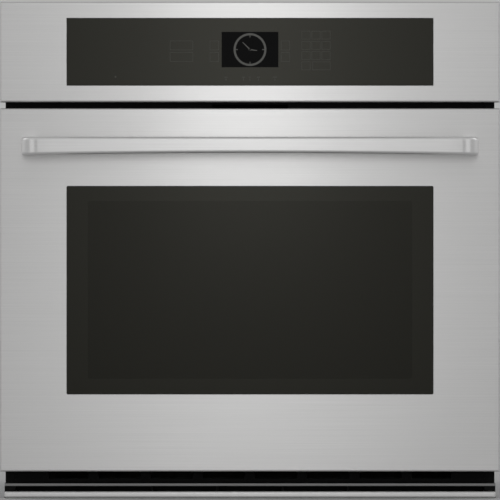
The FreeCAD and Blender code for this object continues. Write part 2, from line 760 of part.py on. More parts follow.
def blower_housing():
    x0 = BLOWER_X - BLOWER_HALF
    x1 = BLOWER_X + BLOWER_HALF
    y0 = BLOWER_Y - BLOWER_HALF
    y1 = BLOWER_Y + BLOWER_REACH
    z0 = SHELF_TOP
    z1 = SHELF_TOP + BLOWER_HEIGHT
    outer = block(x0, x1, y0, y1, z0, z1)
    corner = [
        e for e in outer.Edges
        if along(e, Z_AXIS) and e.Vertexes[0].Y < BLOWER_Y
    ]
    outer = outer.makeFillet(SCROLL_ROUND, corner)
    t = SHEET
    inner = block(x0 + t, x1 - t, y0 + t, y1 + 1, z0 + t, z1 - t)
    corner = [
        e for e in inner.Edges
        if along(e, Z_AXIS) and e.Vertexes[0].Y < BLOWER_Y
    ]
    inner = inner.makeFillet(SCROLL_ROUND - t, corner)
    inlet = post(BLOWER_X, BLOWER_Y, z1 - 3, z1 + 1, SCROLL_INLET)
    return outer.cut([inner, inlet])


def blower_motor():
    z = SHELF_TOP + BLOWER_HEIGHT
    bar = block(
        BLOWER_X - BLOWER_HALF, BLOWER_X + BLOWER_HALF, BLOWER_Y - 6, BLOWER_Y + 6, z, z + 2,
    )
    body = post(BLOWER_X, BLOWER_Y, z + 2, z + 2 + BLOWER_MOTOR_HEIGHT, BLOWER_MOTOR_RADIUS)
    bore = post(BLOWER_X, BLOWER_Y, z - 1, z + 18, WHEEL_SHAFT + RUNNING_FIT)
    return join([bar, body]).cut(bore)


def blower_wheel():
    z0 = SHELF_TOP + WHEEL_GAP
    z1 = SHELF_TOP + BLOWER_HEIGHT - WHEEL_GAP
    rim = post(BLOWER_X, BLOWER_Y, z1 - 2, z1, WHEEL_RADIUS)
    rim = rim.cut(post(BLOWER_X, BLOWER_Y, z1 - 3, z1 + 1, WHEEL_RADIUS - 8))
    plate = post(BLOWER_X, BLOWER_Y, z0, z0 + 1.5, WHEEL_RADIUS)
    hub = post(BLOWER_X, BLOWER_Y, z0, z0 + WHEEL_HUB_LENGTH, WHEEL_HUB)
    shaft = post(BLOWER_X, BLOWER_Y, z0, SHELF_TOP + BLOWER_HEIGHT + 16, WHEEL_SHAFT)
    parts = [rim, plate, hub, shaft]
    for index in range(WHEEL_BLADES):
        blade = block(
            BLOWER_X + WHEEL_RADIUS - 7, BLOWER_X + WHEEL_RADIUS - 1,
            BLOWER_Y - 0.5, BLOWER_Y + 0.5, z0 + 1, z1 - 1,
        )
        blade.rotate(V(BLOWER_X, BLOWER_Y, 0), Z_AXIS, 360 * index / WHEEL_BLADES)
        parts.append(blade)
    return join(parts)


def air_duct():
    x0 = BLOWER_X - BLOWER_HALF
    x1 = BLOWER_X + BLOWER_HALF
    y0 = BLOWER_Y + BLOWER_REACH
    y1 = y0 + DUCT_DEPTH
    z1 = SHELF_TOP + BLOWER_HEIGHT
    t = SHEET
    outer = block(x0, x1, y0, y1, DUCT_FOOT, z1)
    inner = block(x0 + t, x1 - t, y0 + t, y1 - t, DUCT_FOOT - 1, z1 - t)
    inlet = block(x0 + t, x1 - t, y0 - 1, y0 + 3, SHELF_TOP + t, z1 - t)
    return outer.cut([inner, inlet])


def latch_motor():
    z = SHELF_TOP
    plate = block(LATCH_X - 12, LATCH_X + 60, LATCH_Y - 12, LATCH_Y + 60, z, z + 2)
    pin = post(LATCH_X, LATCH_Y, z + 2, z + 8, 3)
    body = block(LATCH_X - 5, LATCH_X + 45, LATCH_Y + 15, LATCH_Y + 55, z + 2, z + 28)
    return join([plate, pin, body])


def latch_hook():
    z0 = LATCH_Z
    z1 = LATCH_Z + LATCH_THICK
    eye = post(LATCH_X, LATCH_Y, z0, z1, 7)
    arm = block(LATCH_X, LATCH_X + LATCH_REACH, LATCH_Y - 4, LATCH_Y + 4, z0, z1)
    tip = block(
        LATCH_X + LATCH_REACH - 8, LATCH_X + LATCH_REACH, LATCH_Y + 4, LATCH_Y + 8, z0, z1,
    )
    bore = post(LATCH_X, LATCH_Y, z0 - 1, z1 + 1, 3 + RUNNING_FIT)
    return join([eye, arm, tip]).cut(bore)


def door_switch():
    z = SHELF_TOP
    body = block(SWITCH_X - 15, SWITCH_X + 15, 20, 52, z, z + 20)
    return body.cut(disc(SWITCH_X, PLUNGER_Z, 19, 40, PLUNGER + RUNNING_FIT))


def door_plunger():
    front = DOOR_BACK + MOVING_GAP
    stem = disc(SWITCH_X, PLUNGER_Z, front, 38, PLUNGER)
    edges = [e for e in stem.Edges if all(abs(v.Y - front) < 1e-6 for v in e.Vertexes)]
    return stem.makeFillet(2.0, edges)


def power_board():
    z = SHELF_TOP
    board = block(-130, 70, 140, 330, z + 10, z + 11.6)
    feet = []
    for x in (-120, 60):
        for y in (150, 320):
            feet.append(post(x, y, z, z + 10, 3))
    parts = [board] + feet
    for index in range(5):
        x = -115 + index * 34
        parts.append(block(x, x + 26, 160, 178, z + 11.6, z + 31))
    parts.append(block(-110, -50, 240, 300, z + 11.6, z + 45))
    parts.append(post(0, 270, z + 11.6, z + 40, 14))
    parts.append(block(30, 58, 220, 300, z + 11.6, z + 25))
    return join(parts)


def inlet_level():
    return SHELF_TOP + INLET_RISE


def supply_box():
    """Box closed at the rear by the rear panel, its lid and the terminal block inside."""
    x0 = INLET_X - SUPPLY_HALF
    x1 = INLET_X + SUPPLY_HALF
    y0 = REAR_PANEL - SUPPLY_SIZE
    z1 = SHELF_TOP + SUPPLY_SIZE
    outer = block(x0, x1, y0, REAR_PANEL, SHELF_TOP, z1)
    t = SHEET
    inner = block(x0 + t, x1 - t, y0 + t, REAR_PANEL + 1, SHELF_TOP + t, z1 + 1)
    lid = block(x0, x1, y0, REAR_PANEL, z1, z1 + SHEET)
    return group([outer.cut(inner), lid, terminal_block()])


def conduit_connector():
    z = inlet_level()
    barrel = disc(INLET_X, z, REAR_PANEL - 8, CHASSIS_DEPTH + INLET_NOSE, INLET_BARREL)
    collar = disc(INLET_X, z, REAR_PANEL + SHEET, REAR_PANEL + SHEET + 4, INLET_BARREL + 5)
    nut = disc(INLET_X, z, REAR_PANEL - NUT_DEPTH, REAR_PANEL, INLET_BARREL + NUT_DEPTH)
    bore = disc(INLET_X, z, REAR_PANEL - 10, CHASSIS_DEPTH + INLET_NOSE + 2, INLET_BORE)
    return join([barrel, collar, nut]).cut(bore)


def terminal_block():
    x = INLET_X
    y = REAR_PANEL - TERMINAL_SETBACK
    z = SHELF_TOP + SHEET
    parts = [
        block(
            x - TERMINAL_HALF, x + TERMINAL_HALF, y, y + TERMINAL_DEPTH, z, z + TERMINAL_HEIGHT,
        )
    ]
    pitch = (2 * TERMINAL_HALF - TERMINAL_RIB) / (TERMINAL_RIBS - 1)
    for index in range(TERMINAL_RIBS):
        left = x - TERMINAL_HALF + index * pitch
        parts.append(
            block(
                left, left + TERMINAL_RIB, y, y + TERMINAL_DEPTH,
                z + TERMINAL_HEIGHT, z + 2 * TERMINAL_HEIGHT,
            )
        )
    return join(parts)


def temperature_sensors():
    """Cavity probe and the two cut-outs on the shelf."""
    z = SHELF_TOP
    solids = [cavity_probe()]
    for x, gap in CUTOUT_PLACES:
        y = CAVITY_DEPTH - gap
        solids.append(join([post(x, y, z, z + 3, CUTOUT_BASE), post(x, y, z + 3, z + 11, CUTOUT_CAP)]))
    return group(solids)


# ---- control panel ----

def control_fascia():
    outer = slab(HALF_FACE, DOOR_FRONT, -FRAME_STANDOFF - 3, PANEL_BOTTOM, FACE_TOP)
    outer = softened_front(outer, DOOR_FRONT, FACE_EDGE_ROUND)
    t = FASCIA_SHEET
    inner = slab(HALF_FACE - t, DOOR_FRONT + t, 0, PANEL_BOTTOM + t, FACE_TOP - t)
    opening = slab(HALF_PANEL_GLASS, DOOR_FRONT - 1, DOOR_FRONT + 5, GLASS_Z0, GLASS_Z1)
    return outer.cut([inner, opening])


def touch_glass():
    gap = SEAT_GAP
    return slab(
        HALF_PANEL_GLASS - gap, DOOR_FRONT + GLASS_RECESS, DOOR_FRONT + GLASS_RECESS + GLASS,
        GLASS_Z0 + gap, GLASS_Z1 - gap,
    )


def glass_seat():
    """Ring behind the control glass: a lip under its edge and a flange behind the fascia."""
    back = DOOR_FRONT + GLASS_RECESS + GLASS
    half = HALF_PANEL_GLASS + SEAT_LAP
    z0 = GLASS_Z0 - SEAT_LAP
    z1 = GLASS_Z1 + SEAT_LAP
    lip = slab(half, back, back + SHEET, z0, z1)
    wall = slab(half, DOOR_FRONT + FASCIA_SHEET, back, z0, z1)
    hole = slab(HALF_PANEL_GLASS, DOOR_FRONT, back, GLASS_Z0, GLASS_Z1)
    through = slab(
        HALF_PANEL_GLASS - SEAT_LIP, DOOR_FRONT, back + 5, GLASS_Z0 + SEAT_LIP,
        GLASS_Z1 - SEAT_LIP,
    )
    return join([lip, wall.cut(hole)]).cut(through)


def display_z():
    return GLASS_Z0 + (GLASS_Z1 - GLASS_Z0) * DISPLAY_SHARE


def display_module():
    y = DOOR_FRONT + GLASS_RECESS + GLASS
    z = display_z()
    return slab(
        DISPLAY_WIDTH / 2, y, y + DISPLAY_DEPTH, z - DISPLAY_HEIGHT / 2, z + DISPLAY_HEIGHT / 2,
    )


def control_board():
    y = DOOR_FRONT + GLASS_RECESS + GLASS + DISPLAY_DEPTH
    z0 = GLASS_Z0 + LOGIC_MARGIN
    z1 = GLASS_Z1 - LOGIC_MARGIN
    parts = [slab(HALF_PANEL_GLASS - 60, y, y + BOARD, z0, z1)]
    for x in (-150, -90, 60, 120, 160):
        parts.append(block(x, x + 30, y + BOARD, y + 6, z0 + 20, z0 + 44))
    return join(parts)


def circuit_boards():
    """Relay board on the shelf and logic board behind the display."""
    return group([power_board(), control_board()])


def control_bracket():
    y = DOOR_FRONT + BRACKET_DEPTH
    half = HALF_PANEL_GLASS - BRACKET_INSET
    z0 = GLASS_Z0 + 2
    z1 = GLASS_Z1 - 2
    plate = slab(half, y, y + SHEET, z0, z1)
    hole = slab(half - 60, y - 1, y + 3, z0 + 18, z1 - 18)
    leg = block(half - SHEET, half, y, -FRAME_STANDOFF, z0, z1)
    foot = block(half, HALF_CAVITY + BRACKET_LAP, -FRAME_STANDOFF - SHEET, -FRAME_STANDOFF, z0, z1)
    arms = [leg, mirrored(leg), foot, mirrored(foot)]
    return join([plate.cut(hole)] + arms)


# ---- bottom vent ----

def bottom_trim():
    """Floor of the vent with its rolled front lip, hung from the frame."""
    low = -FACE_DROP
    front = DOOR_FRONT
    back = -FRAME_STANDOFF
    floor = slab(HALF_TRIM, front + 5, back, low, low + SHEET)
    roll = slab(HALF_TRIM, front, front + 7, low, low + LIP_HEIGHT)
    edges = [e for e in roll.Edges if along(e, X_AXIS)]
    roll = roll.makeFillet(3.2, edges)
    wall = slab(HALF_TRIM, back - SHEET, back, low, 2)
    slots = slot_row(9, 76, 0, 32, back - 3, back + 1, low + 6, -6)
    return join([floor, roll, wall.cut(slots)])


def vent_blade():
    """Thin strip across the vent, with four ribs that stand it on the floor."""
    y0 = DOOR_FRONT + 8
    back = -FRAME_STANDOFF - SHEET
    nose = slab(HALF_TRIM, y0, y0 + SHEET, BLADE_TOP - BLADE_DROP, BLADE_TOP)
    roof = slab(HALF_TRIM, y0, back, BLADE_TOP - SHEET, BLADE_TOP)
    parts = [nose, roof]
    for index in range(4):
        x = RIB_PITCH * (index - 1.5)
        low = -FACE_DROP + SHEET
        parts.append(block(x - 1, x + 1, y0 + 4, back, low, BLADE_TOP - SHEET))
    return join(parts)


def vent_end_caps():
    inner = HALF_TRIM - 17
    low = -FACE_DROP + SHEET
    cap = block(
        inner, HALF_TRIM, DOOR_FRONT + 10, -FRAME_STANDOFF - SHEET, low, BLADE_TOP - SHEET,
    )
    return both_sides(cap)


# ---- door ----

def door_skin():
    back = DOOR_BACK - 5
    outer = slab(HALF_FACE, DOOR_FRONT, back, DOOR_BOTTOM, DOOR_TOP)
    outer = softened_front(outer, DOOR_FRONT, FACE_EDGE_ROUND)
    t = SHEET
    half = HALF_FACE - t
    inner = slab(half, DOOR_FRONT + t, 0, DOOR_BOTTOM + t, DOOR_TOP - t)
    under = slab(half, PIVOT_Y - 5, 0, DOOR_BOTTOM - 1, DOOR_BOTTOM + t + 1)
    over = slab(half, DOOR_FRONT + 7, 0, DOOR_TOP - t - 1, DOOR_TOP + 1)
    window = rounded_slab(
        HALF_WINDOW, DOOR_FRONT - 1, DOOR_FRONT + 3, WINDOW_Z0, WINDOW_Z1, 2.5,
    )
    holes = []
    for z in handle_screw_rows():
        hole = disc(handle_leg_x(), z, DOOR_FRONT - 1, DOOR_FRONT + 3, 2.5)
        holes += [hole, mirrored(hole)]
    hem = block(HALF_LINER, half, back - t, back, LINER_BOTTOM, LINER_TOP)
    shell = outer.cut([inner, under, over, window] + holes)
    return join([shell, hem, mirrored(hem)])


def door_top_vent():
    half = HALF_FACE - SHEET
    strip = slab(half, DOOR_FRONT + 7, DOOR_BACK - 5 - SHEET, DOOR_TOP - 3.2, DOOR_TOP - SHEET)
    slots = slot_row(9, 74, 0, 30, DOOR_FRONT + 14, DOOR_FRONT + 20, DOOR_TOP - 5, DOOR_TOP)
    return strip.cut(slots)


def outer_glass():
    gap = SEAT_GAP
    return rounded_slab(
        HALF_WINDOW - gap, DOOR_FRONT + WINDOW_RECESS, DOOR_FRONT + WINDOW_RECESS + GLASS,
        WINDOW_Z0 + gap, WINDOW_Z1 - gap, 2.0,
    )


def window_retainer():
    back = DOOR_FRONT + WINDOW_RECESS + GLASS
    wall = slab(
        HALF_WINDOW + RETAINER_LAP, DOOR_FRONT + SHEET, back + SHEET,
        WINDOW_Z0 - RETAINER_LAP, WINDOW_Z1 + RETAINER_LAP,
    )
    hole = slab(HALF_WINDOW, DOOR_FRONT, back, WINDOW_Z0, WINDOW_Z1)
    through = slab(HALF_CLEAR + 5, DOOR_FRONT, 0, CLEAR_Z0 - 5, CLEAR_Z1 + 5)
    return wall.cut([hole, through])


def pack_box():
    return HALF_CLEAR + PACK_LAP, CLEAR_Z0 - PACK_LAP_Z, CLEAR_Z1 + PACK_LAP_Z


def window_pack():
    """Frame of the middle panes, with the ring that keeps them apart."""
    half, z0, z1 = pack_box()
    body = slab(
        half + PACK_WALL, DOOR_FRONT + PACK_SETBACK - PANE, DOOR_BACK - 8,
        z0 - PACK_WALL, z1 + PACK_WALL,
    )
    front = DOOR_FRONT + PACK_SETBACK
    seats = []
    for y in (front, front + PANE_PITCH):
        seats.append(slab(half, y, y + PANE, z0, z1))
    sight = slab(half - PACK_LIP, DOOR_FRONT, 0, z0 + PACK_LIP, z1 - PACK_LIP)
    return body.cut(seats + [sight])


def middle_panes():
    half, z0, z1 = pack_box()
    gap = SEAT_GAP
    solids = []
    for y in (DOOR_FRONT + PACK_SETBACK, DOOR_FRONT + PACK_SETBACK + PANE_PITCH):
        solids.append(slab(half - gap, y, y + PANE, z0 + gap, z1 - gap))
    return group(solids)


def inner_liner():
    front = DOOR_BACK - 21
    t = SHEET
    body = slab(HALF_LINER, front, DOOR_BACK, LINER_BOTTOM, LINER_TOP)
    edges = [e for e in body.Edges if all(abs(v.Y - DOOR_BACK) < 1e-6 for v in e.Vertexes)]
    body = body.makeFillet(3.0, edges)
    inner = slab(HALF_LINER - t, front - 1, DOOR_BACK - t, LINER_BOTTOM + t, LINER_TOP - t)
    sight = rounded_slab(HALF_CLEAR + 4, -20, 0, CLEAR_Z0 - 4, CLEAR_Z1 + 4, 12)
    arm = block(
        HINGE_X - CHANNEL_WIDTH / 2 - 0.5, HINGE_X + CHANNEL_WIDTH / 2 + 0.5, front - 1, 0,
        LINER_BOTTOM - 1, PIVOT_Z + 15,
    )
    latch = block(LATCH_X - 6, LATCH_X + 38, -20, 0, LATCH_Z - 1.5, LATCH_Z + LATCH_THICK + 1.5)
    holes = [disc(x, z, -20, 0, 2.0) for x, z in liner_screw_points()]
    return body.cut([inner, sight, arm, mirrored(arm), latch] + holes)


def liner_screw_points():
    half = HALF_LINER - LINER_SCREW_INSET
    points = []
    for z in (LINER_BOTTOM + LINER_SCREW_LOW, (LINER_BOTTOM + LINER_TOP) / 2, LINER_TOP - LINER_SCREW_HIGH):
        points += [(-half, z), (half, z)]
    return points


def inner_glass():
    y1 = DOOR_BACK - SHEET
    lap = INNER_GLASS_LAP
    return slab(HALF_CLEAR + lap, y1 - GLASS, y1, CLEAR_Z0 - lap, CLEAR_Z1 + lap)


def door_insulation():
    half, z0, z1 = pack_box()
    y0 = DOOR_FRONT + SHEET + 5
    y1 = DOOR_BACK - 8
    outer = slab(HINGE_X - CHANNEL_WIDTH / 2 - 6, y0, y1, LINER_BOTTOM + 22, SHELF - 6)
    inner = slab(half + 2.5, y0 - 1, y1 + 1, z0 - 2.5, z1 + 2.5)
    return outer.cut(inner)


def hinge_channels():
    """Channel open to the rear, with the pivot pin riveted through its walls."""
    half = CHANNEL_WIDTH / 2
    y0 = DOOR_FRONT + 4
    outer = block(
        HINGE_X - half, HINGE_X + half, y0, DOOR_BACK - 2,
        CHANNEL_FOOT, CHANNEL_TOP,
    )
    t = CHANNEL_WALL
    inner = block(
        HINGE_X - half + t, HINGE_X + half - t, y0 + t, 0, CHANNEL_FOOT - 1, CHANNEL_TOP + 1,
    )
    pin = rod(V(HINGE_X - half, PIVOT_Y, PIVOT_Z), V(HINGE_X + half, PIVOT_Y, PIVOT_Z), PIVOT_PIN)
    return both_sides(join([outer.cut(inner), pin]))


def hinge_arms():
    half = ARM_THICK / 2
    h = ARM_HALF_HEIGHT
    eye = rod(
        V(HINGE_X - half, PIVOT_Y, PIVOT_Z), V(HINGE_X + half, PIVOT_Y, PIVOT_Z), ARM_EYE,
    )
    bar = block(HINGE_X - half, HINGE_X + half, PIVOT_Y, ARM_REACH, PIVOT_Z - h, PIVOT_Z + h)
    bore = rod(
        V(HINGE_X - half - 1, PIVOT_Y, PIVOT_Z), V(HINGE_X + half + 1, PIVOT_Y, PIVOT_Z),
        PIVOT_PIN + RUNNING_FIT,
    )
    return both_sides(join([eye, bar]).cut(bore))


def hinge_receivers():
    half = ARM_THICK / 2
    h = ARM_HALF_HEIGHT
    wall = half + RECEIVER_WALL
    outer = block(
        HINGE_X - wall, HINGE_X + wall, SHEET, RECEIVER_BACK,
        PIVOT_Z - RECEIVER_HALF, PIVOT_Z + RECEIVER_HALF,
    )
    pocket = block(HINGE_X - half, HINGE_X + half, 0, ARM_REACH, PIVOT_Z - h, PIVOT_Z + h)
    return both_sides(outer.cut(pocket))


def hinge_springs():
    low = V(HINGE_X, PIVOT_Y - 5, PIVOT_Z + SPRING_RISE)
    coil = Part.makeHelix(SPRING_PITCH, SPRING_LENGTH, SPRING_RADIUS)
    coil.translate(low)
    start = low + V(SPRING_RADIUS, 0, 0)
    profile = Part.Wire([Part.makeCircle(SPRING_WIRE, start, Y_AXIS)])
    return both_sides(Part.Wire(coil.Edges).makePipeShell([profile], True, True))


# ---- handle ----

def handle_leg_x():
    return HALF_HANDLE - HANDLE_THICK / 2


def handle_screw_rows():
    middle = HANDLE_LOW + HANDLE_HEIGHT / 2
    return (middle - HANDLE_SCREW_OFFSET, middle + HANDLE_SCREW_OFFSET)


def handle_bar():
    """Arched bar whose ends bend back to the door; its underside rises at mid-span."""
    foot = DOOR_FRONT - HANDLE_FOOT
    front = DOOR_FRONT - HANDLE_REACH
    outer = slab(HALF_HANDLE, front, foot, HANDLE_LOW, HANDLE_TOP)
    corners = [e for e in outer.Edges if along(e, Z_AXIS) and e.Vertexes[0].Y < foot - 1]
    outer = outer.makeFillet(HANDLE_BEND, corners)
    inner = slab(
        HALF_HANDLE - HANDLE_THICK, front + HANDLE_THICK, foot + 30,
        HANDLE_LOW - 1, HANDLE_TOP + 1,
    )
    corners = [e for e in inner.Edges if along(e, Z_AXIS) and e.Vertexes[0].Y < foot - 1]
    inner = inner.makeFillet(HANDLE_INNER_BEND, corners)
    edges = [
        e for e in outer.Edges
        if e.BoundBox.ZLength < 1e-6 and e.BoundBox.YMin < foot - 1e-3
    ]
    outer = outer.makeFillet(HANDLE_EDGE_ROUND, edges)
    bar = outer.cut(inner)
    radius = (HALF_HANDLE ** 2 + HANDLE_RISE ** 2) / (2 * HANDLE_RISE)
    centre = V(0, front - 5, HANDLE_LOW + HANDLE_RISE - radius)
    under = Part.makeCylinder(radius, 2 * HANDLE_REACH, centre, Y_AXIS)
    bar = bar.cut(under)
    holes = []
    for z in handle_screw_rows():
        hole = disc(handle_leg_x(), z, foot - HANDLE_SCREW_REACH, DOOR_FRONT + 1, SCREW_RADIUS)
        holes += [hole, mirrored(hole)]
    x = handle_leg_x()
    half = HANDLE_THICK / 2 - 1.0
    neck = block(x - half, x + half, foot - 2, DOOR_FRONT, HANDLE_LOW + 4, HANDLE_TOP - 3)
    neck = neck.makeFillet(4, [e for e in neck.Edges if along(e, Y_AXIS)])
    return join([bar, neck, mirrored(neck)]).cut(holes)


def door_screws():
    """Screws of the handle and of the liner, each a solid of its own."""
    foot = DOOR_FRONT - HANDLE_FOOT
    solids = []
    for z in handle_screw_rows():
        x = handle_leg_x()
        shank = disc(x, z, foot - HANDLE_SCREW_REACH, DOOR_FRONT + SHEET, SCREW_RADIUS)
        head = disc(x, z, DOOR_FRONT + SHEET, DOOR_FRONT + SHEET + 3, HANDLE_SCREW_HEAD)
        screw = join([shank, head])
        solids += [screw, mirrored(screw)]
    for x, z in liner_screw_points():
        shank = disc(x, z, DOOR_BACK - 8, DOOR_BACK, SCREW_RADIUS)
        head = disc(x, z, DOOR_BACK, DOOR_BACK + 1.8, LINER_SCREW_HEAD)
        solids.append(join([shank, head]))
    return group(solids)


# ---- racks ----

def flat_rack(index):
    x = HALF_CAVITY - RACK_FROM_WALL
    z = level(index) + RAIL_Z
    y0 = RACK_FRONT + RACK_WIRE
    y1 = RACK_BACK - RACK_WIRE
    corners = [V(-x, y0, z), V(x, y0, z), V(x, y1, z), V(-x, y1, z)]
    bars = []
    for start, end in zip(corners, corners[1:] + corners[:1]):
        bars.append(rod(start, end, RACK_WIRE))
        bars.append(Part.makeSphere(RACK_WIRE, start))
    for y in (y0 + (y1 - y0) / 3, y0 + (y1 - y0) * 2 / 3):
        bars.append(rod(V(-x, y, z), V(x, y, z), RACK_WIRE - 0.5))
    step = 2 * x / (GRID_COUNT + 1)
    lift = RACK_WIRE
    for i in range(GRID_COUNT):
        wire_x = -x + step * (i + 1)
        bars.append(rod(V(wire_x, y0, z + lift), V(wire_x, y1, z + lift), GRID_WIRE))
    return join(bars)


def rollout_edges():
    frame_in = HALF_CAVITY - RACK_FROM_WALL - 12
    glide_out = frame_in - GLIDE_GAP
    shelf_out = glide_out - GLIDE_WIDTH - GLIDE_GAP
    return frame_in, glide_out, shelf_out


def rollout_frame():
    frame_in = rollout_edges()[0]
    z0 = level(ROLLOUT_LEVEL) + RUNG_RADIUS
    out = HALF_CAVITY - RACK_FROM_WALL + 2
    y0 = RACK_FRONT + SLIDE_FRONT_GAP
    y1 = RACK_BACK - TIE_RADIUS
    tie_y = y1 - 3 * TIE_RADIUS
    tie_z = z0 + SEAT_SHEET + TIE_RADIUS
    seat = block(frame_in, out, y0, y1, z0, z0 + SEAT_SHEET)
    web = block(frame_in, frame_in + SEAT_SHEET, y0, y1, z0, z0 + SEAT_HEIGHT)
    bar = rod(V(-frame_in - 1, tie_y, tie_z), V(frame_in + 1, tie_y, tie_z), TIE_RADIUS)
    return join([seat, web, mirrored(seat), mirrored(web), bar])


def rollout_glides():
    glide_out = rollout_edges()[1]
    z0 = level(ROLLOUT_LEVEL) + RUNG_RADIUS + SLIDE_LIFT
    bar = block(
        glide_out - GLIDE_WIDTH, glide_out, RACK_FRONT + SLIDE_FRONT_GAP, ROLLOUT_BACK,
        z0, z0 + GLIDE_HEIGHT,
    )
    return both_sides(bar)


def rollout_shelf():
    x = rollout_edges()[2]
    z0 = level(ROLLOUT_LEVEL) + RUNG_RADIUS + SLIDE_LIFT
    z = z0 + GLIDE_HEIGHT - RACK_WIRE
    y0 = RACK_FRONT + RACK_WIRE
    y1 = ROLLOUT_BACK
    rail = block(x - GLIDE_WIDTH, x, y0, y1, z0, z0 + GLIDE_HEIGHT)
    bars = [rail, mirrored(rail)]
    for y in (y0, (y0 + y1) / 2, y1):
        bars.append(rod(V(-x + 1, y, z), V(x - 1, y, z), RACK_WIRE))
    step = 2 * (x - GLIDE_WIDTH) / (GRID_COUNT + 1)
    for i in range(GRID_COUNT):
        wire_x = -x + GLIDE_WIDTH + step * (i + 1)
        bars.append(rod(V(wire_x, y0, z + RACK_WIRE), V(wire_x, y1, z + RACK_WIRE), GRID_WIRE))
    return join(bars)


NODES = {
    "base_pan": base_pan,
    "side_panels": lambda: both_sides(side_panel()),
    "rear_panel": rear_panel,
    "top_cover": top_cover,
    "top_screws": top_screws,
    "compartment_shelf": compartment_shelf,
    "front_frame": front_frame,
    "side_trims": lambda: both_sides(side_trim()),
    "oven_cavity": oven_cavity,
    "insulation": insulation,
    "rack_ladders": lambda: both_sides(rack_ladder()),
    "fan_cover": fan_cover,
    "convection_fan": convection_fan,
    "convection_element": convection_element,
    "convection_motor": convection_motor,
    "broil_element": broil_element,
    "bake_element": bake_element,
    "temperature_sensors": temperature_sensors,
    "lamp_housings": lamp_housings,
    "lamp_bulbs": lamp_bulbs,
    "lamp_lenses": lamp_lenses,
    "smoke_vent": smoke_vent,
    "door_gasket": door_gasket,
    "blower_housing": blower_housing,
    "blower_motor": blower_motor,
    "blower_wheel": blower_wheel,
    "air_duct": air_duct,
    "latch_motor": latch_motor,
    "latch_hook": latch_hook,
    "door_switch": door_switch,
    "door_plunger": door_plunger,
    "circuit_boards": circuit_boards,
    "supply_box": supply_box,
    "conduit_connector": conduit_connector,
    "control_fascia": control_fascia,
    "touch_glass": touch_glass,
    "display_module": display_module,
    "panel_brackets": lambda: group([glass_seat(), control_bracket()]),
    "bottom_trim": bottom_trim,
    "vent_blade": vent_blade,
    "vent_end_caps": vent_end_caps,
    "door_skin": door_skin,
    "door_top_vent": door_top_vent,
    "outer_glass": outer_glass,
    "window_frames": lambda: group([window_retainer(), window_pack()]),
    "middle_panes": middle_panes,
    "inner_liner": inner_liner,
    "inner_glass": inner_glass,
    "door_insulation": door_insulation,
    "hinge_channels": hinge_channels,
    "hinge_arms": hinge_arms,
    "hinge_receivers": hinge_receivers,
    "hinge_springs": hinge_springs,
    "handle_bar": handle_bar,
    "door_screws": door_screws,
    "rack_lower": lambda: flat_rack(LOWER_LEVEL),
    "rack_upper": lambda: flat_rack(UPPER_LEVEL),
    "rollout_frame": rollout_frame,
    "rollout_glides": rollout_glides,
    "rollout_shelf": rollout_shelf,
}


def main():
    os.makedirs("parts", exist_ok=True)
    for name, make in NODES.items():
        make().exportStep("parts/" + name + ".step")


main()
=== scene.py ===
"""Looks of a built-in wall oven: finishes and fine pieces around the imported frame.

Metres. X is to the right, Y to the rear, Z up; the door faces -Y.
"""

from __future__ import annotations

import json
import logging
import math
from dataclasses import dataclass
from enum import Enum
from typing import Callable, Iterable

import bpy
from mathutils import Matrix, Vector


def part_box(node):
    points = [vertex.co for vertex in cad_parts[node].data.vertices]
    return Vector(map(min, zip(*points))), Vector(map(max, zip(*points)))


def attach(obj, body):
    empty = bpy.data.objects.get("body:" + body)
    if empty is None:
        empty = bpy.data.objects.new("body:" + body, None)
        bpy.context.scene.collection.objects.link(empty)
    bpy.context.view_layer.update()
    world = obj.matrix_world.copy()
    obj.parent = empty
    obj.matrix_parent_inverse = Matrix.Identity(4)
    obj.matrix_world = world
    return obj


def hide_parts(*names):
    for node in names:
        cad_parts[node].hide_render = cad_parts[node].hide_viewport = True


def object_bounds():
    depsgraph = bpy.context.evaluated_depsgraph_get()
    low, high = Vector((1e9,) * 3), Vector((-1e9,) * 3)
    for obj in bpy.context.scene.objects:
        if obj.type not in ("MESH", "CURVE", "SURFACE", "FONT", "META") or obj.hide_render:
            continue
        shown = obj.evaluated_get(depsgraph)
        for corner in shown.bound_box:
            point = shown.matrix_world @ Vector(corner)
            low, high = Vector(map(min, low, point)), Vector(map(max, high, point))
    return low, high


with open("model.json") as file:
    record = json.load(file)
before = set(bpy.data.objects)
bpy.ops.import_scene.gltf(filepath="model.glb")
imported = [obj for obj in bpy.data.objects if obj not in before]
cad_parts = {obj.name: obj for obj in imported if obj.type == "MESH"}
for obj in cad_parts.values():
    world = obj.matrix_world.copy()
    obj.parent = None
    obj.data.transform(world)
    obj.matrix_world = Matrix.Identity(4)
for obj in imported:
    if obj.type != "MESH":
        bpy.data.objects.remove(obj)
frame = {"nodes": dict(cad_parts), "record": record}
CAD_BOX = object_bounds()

log = logging.getLogger("wall_oven")
MM = 0.001
HAIR = 0.1 * MM

Point = tuple[float, float, float]
Colour = tuple[float, float, float]


class Axis(Enum):
    """A direction along one of the frame's axes."""

    X = 0
    Y = 1
    Z = 2


# ---- modelling bench ----


def deselect() -> None:
    """Leaves edit mode and deselects every object."""
    if bpy.context.object and bpy.context.object.mode != "OBJECT":
        bpy.ops.object.mode_set(mode="OBJECT")
    bpy.ops.object.select_all(action="DESELECT")


def activate(piece: bpy.types.Object) -> None:
    """Makes one piece the only selected and active object.

    Args:
        piece: The piece to work on.
    """
    deselect()
    piece.select_set(True)
    bpy.context.view_layer.objects.active = piece


def settle(piece: bpy.types.Object) -> bpy.types.Object:
    """Moves a piece's place, turn and scale into its mesh.

    Args:
        piece: The object to settle.

    Returns:
        The same object, now at the origin.
    """
    activate(piece)
    bpy.ops.object.transform_apply(location=True, rotation=True, scale=True)
    return piece


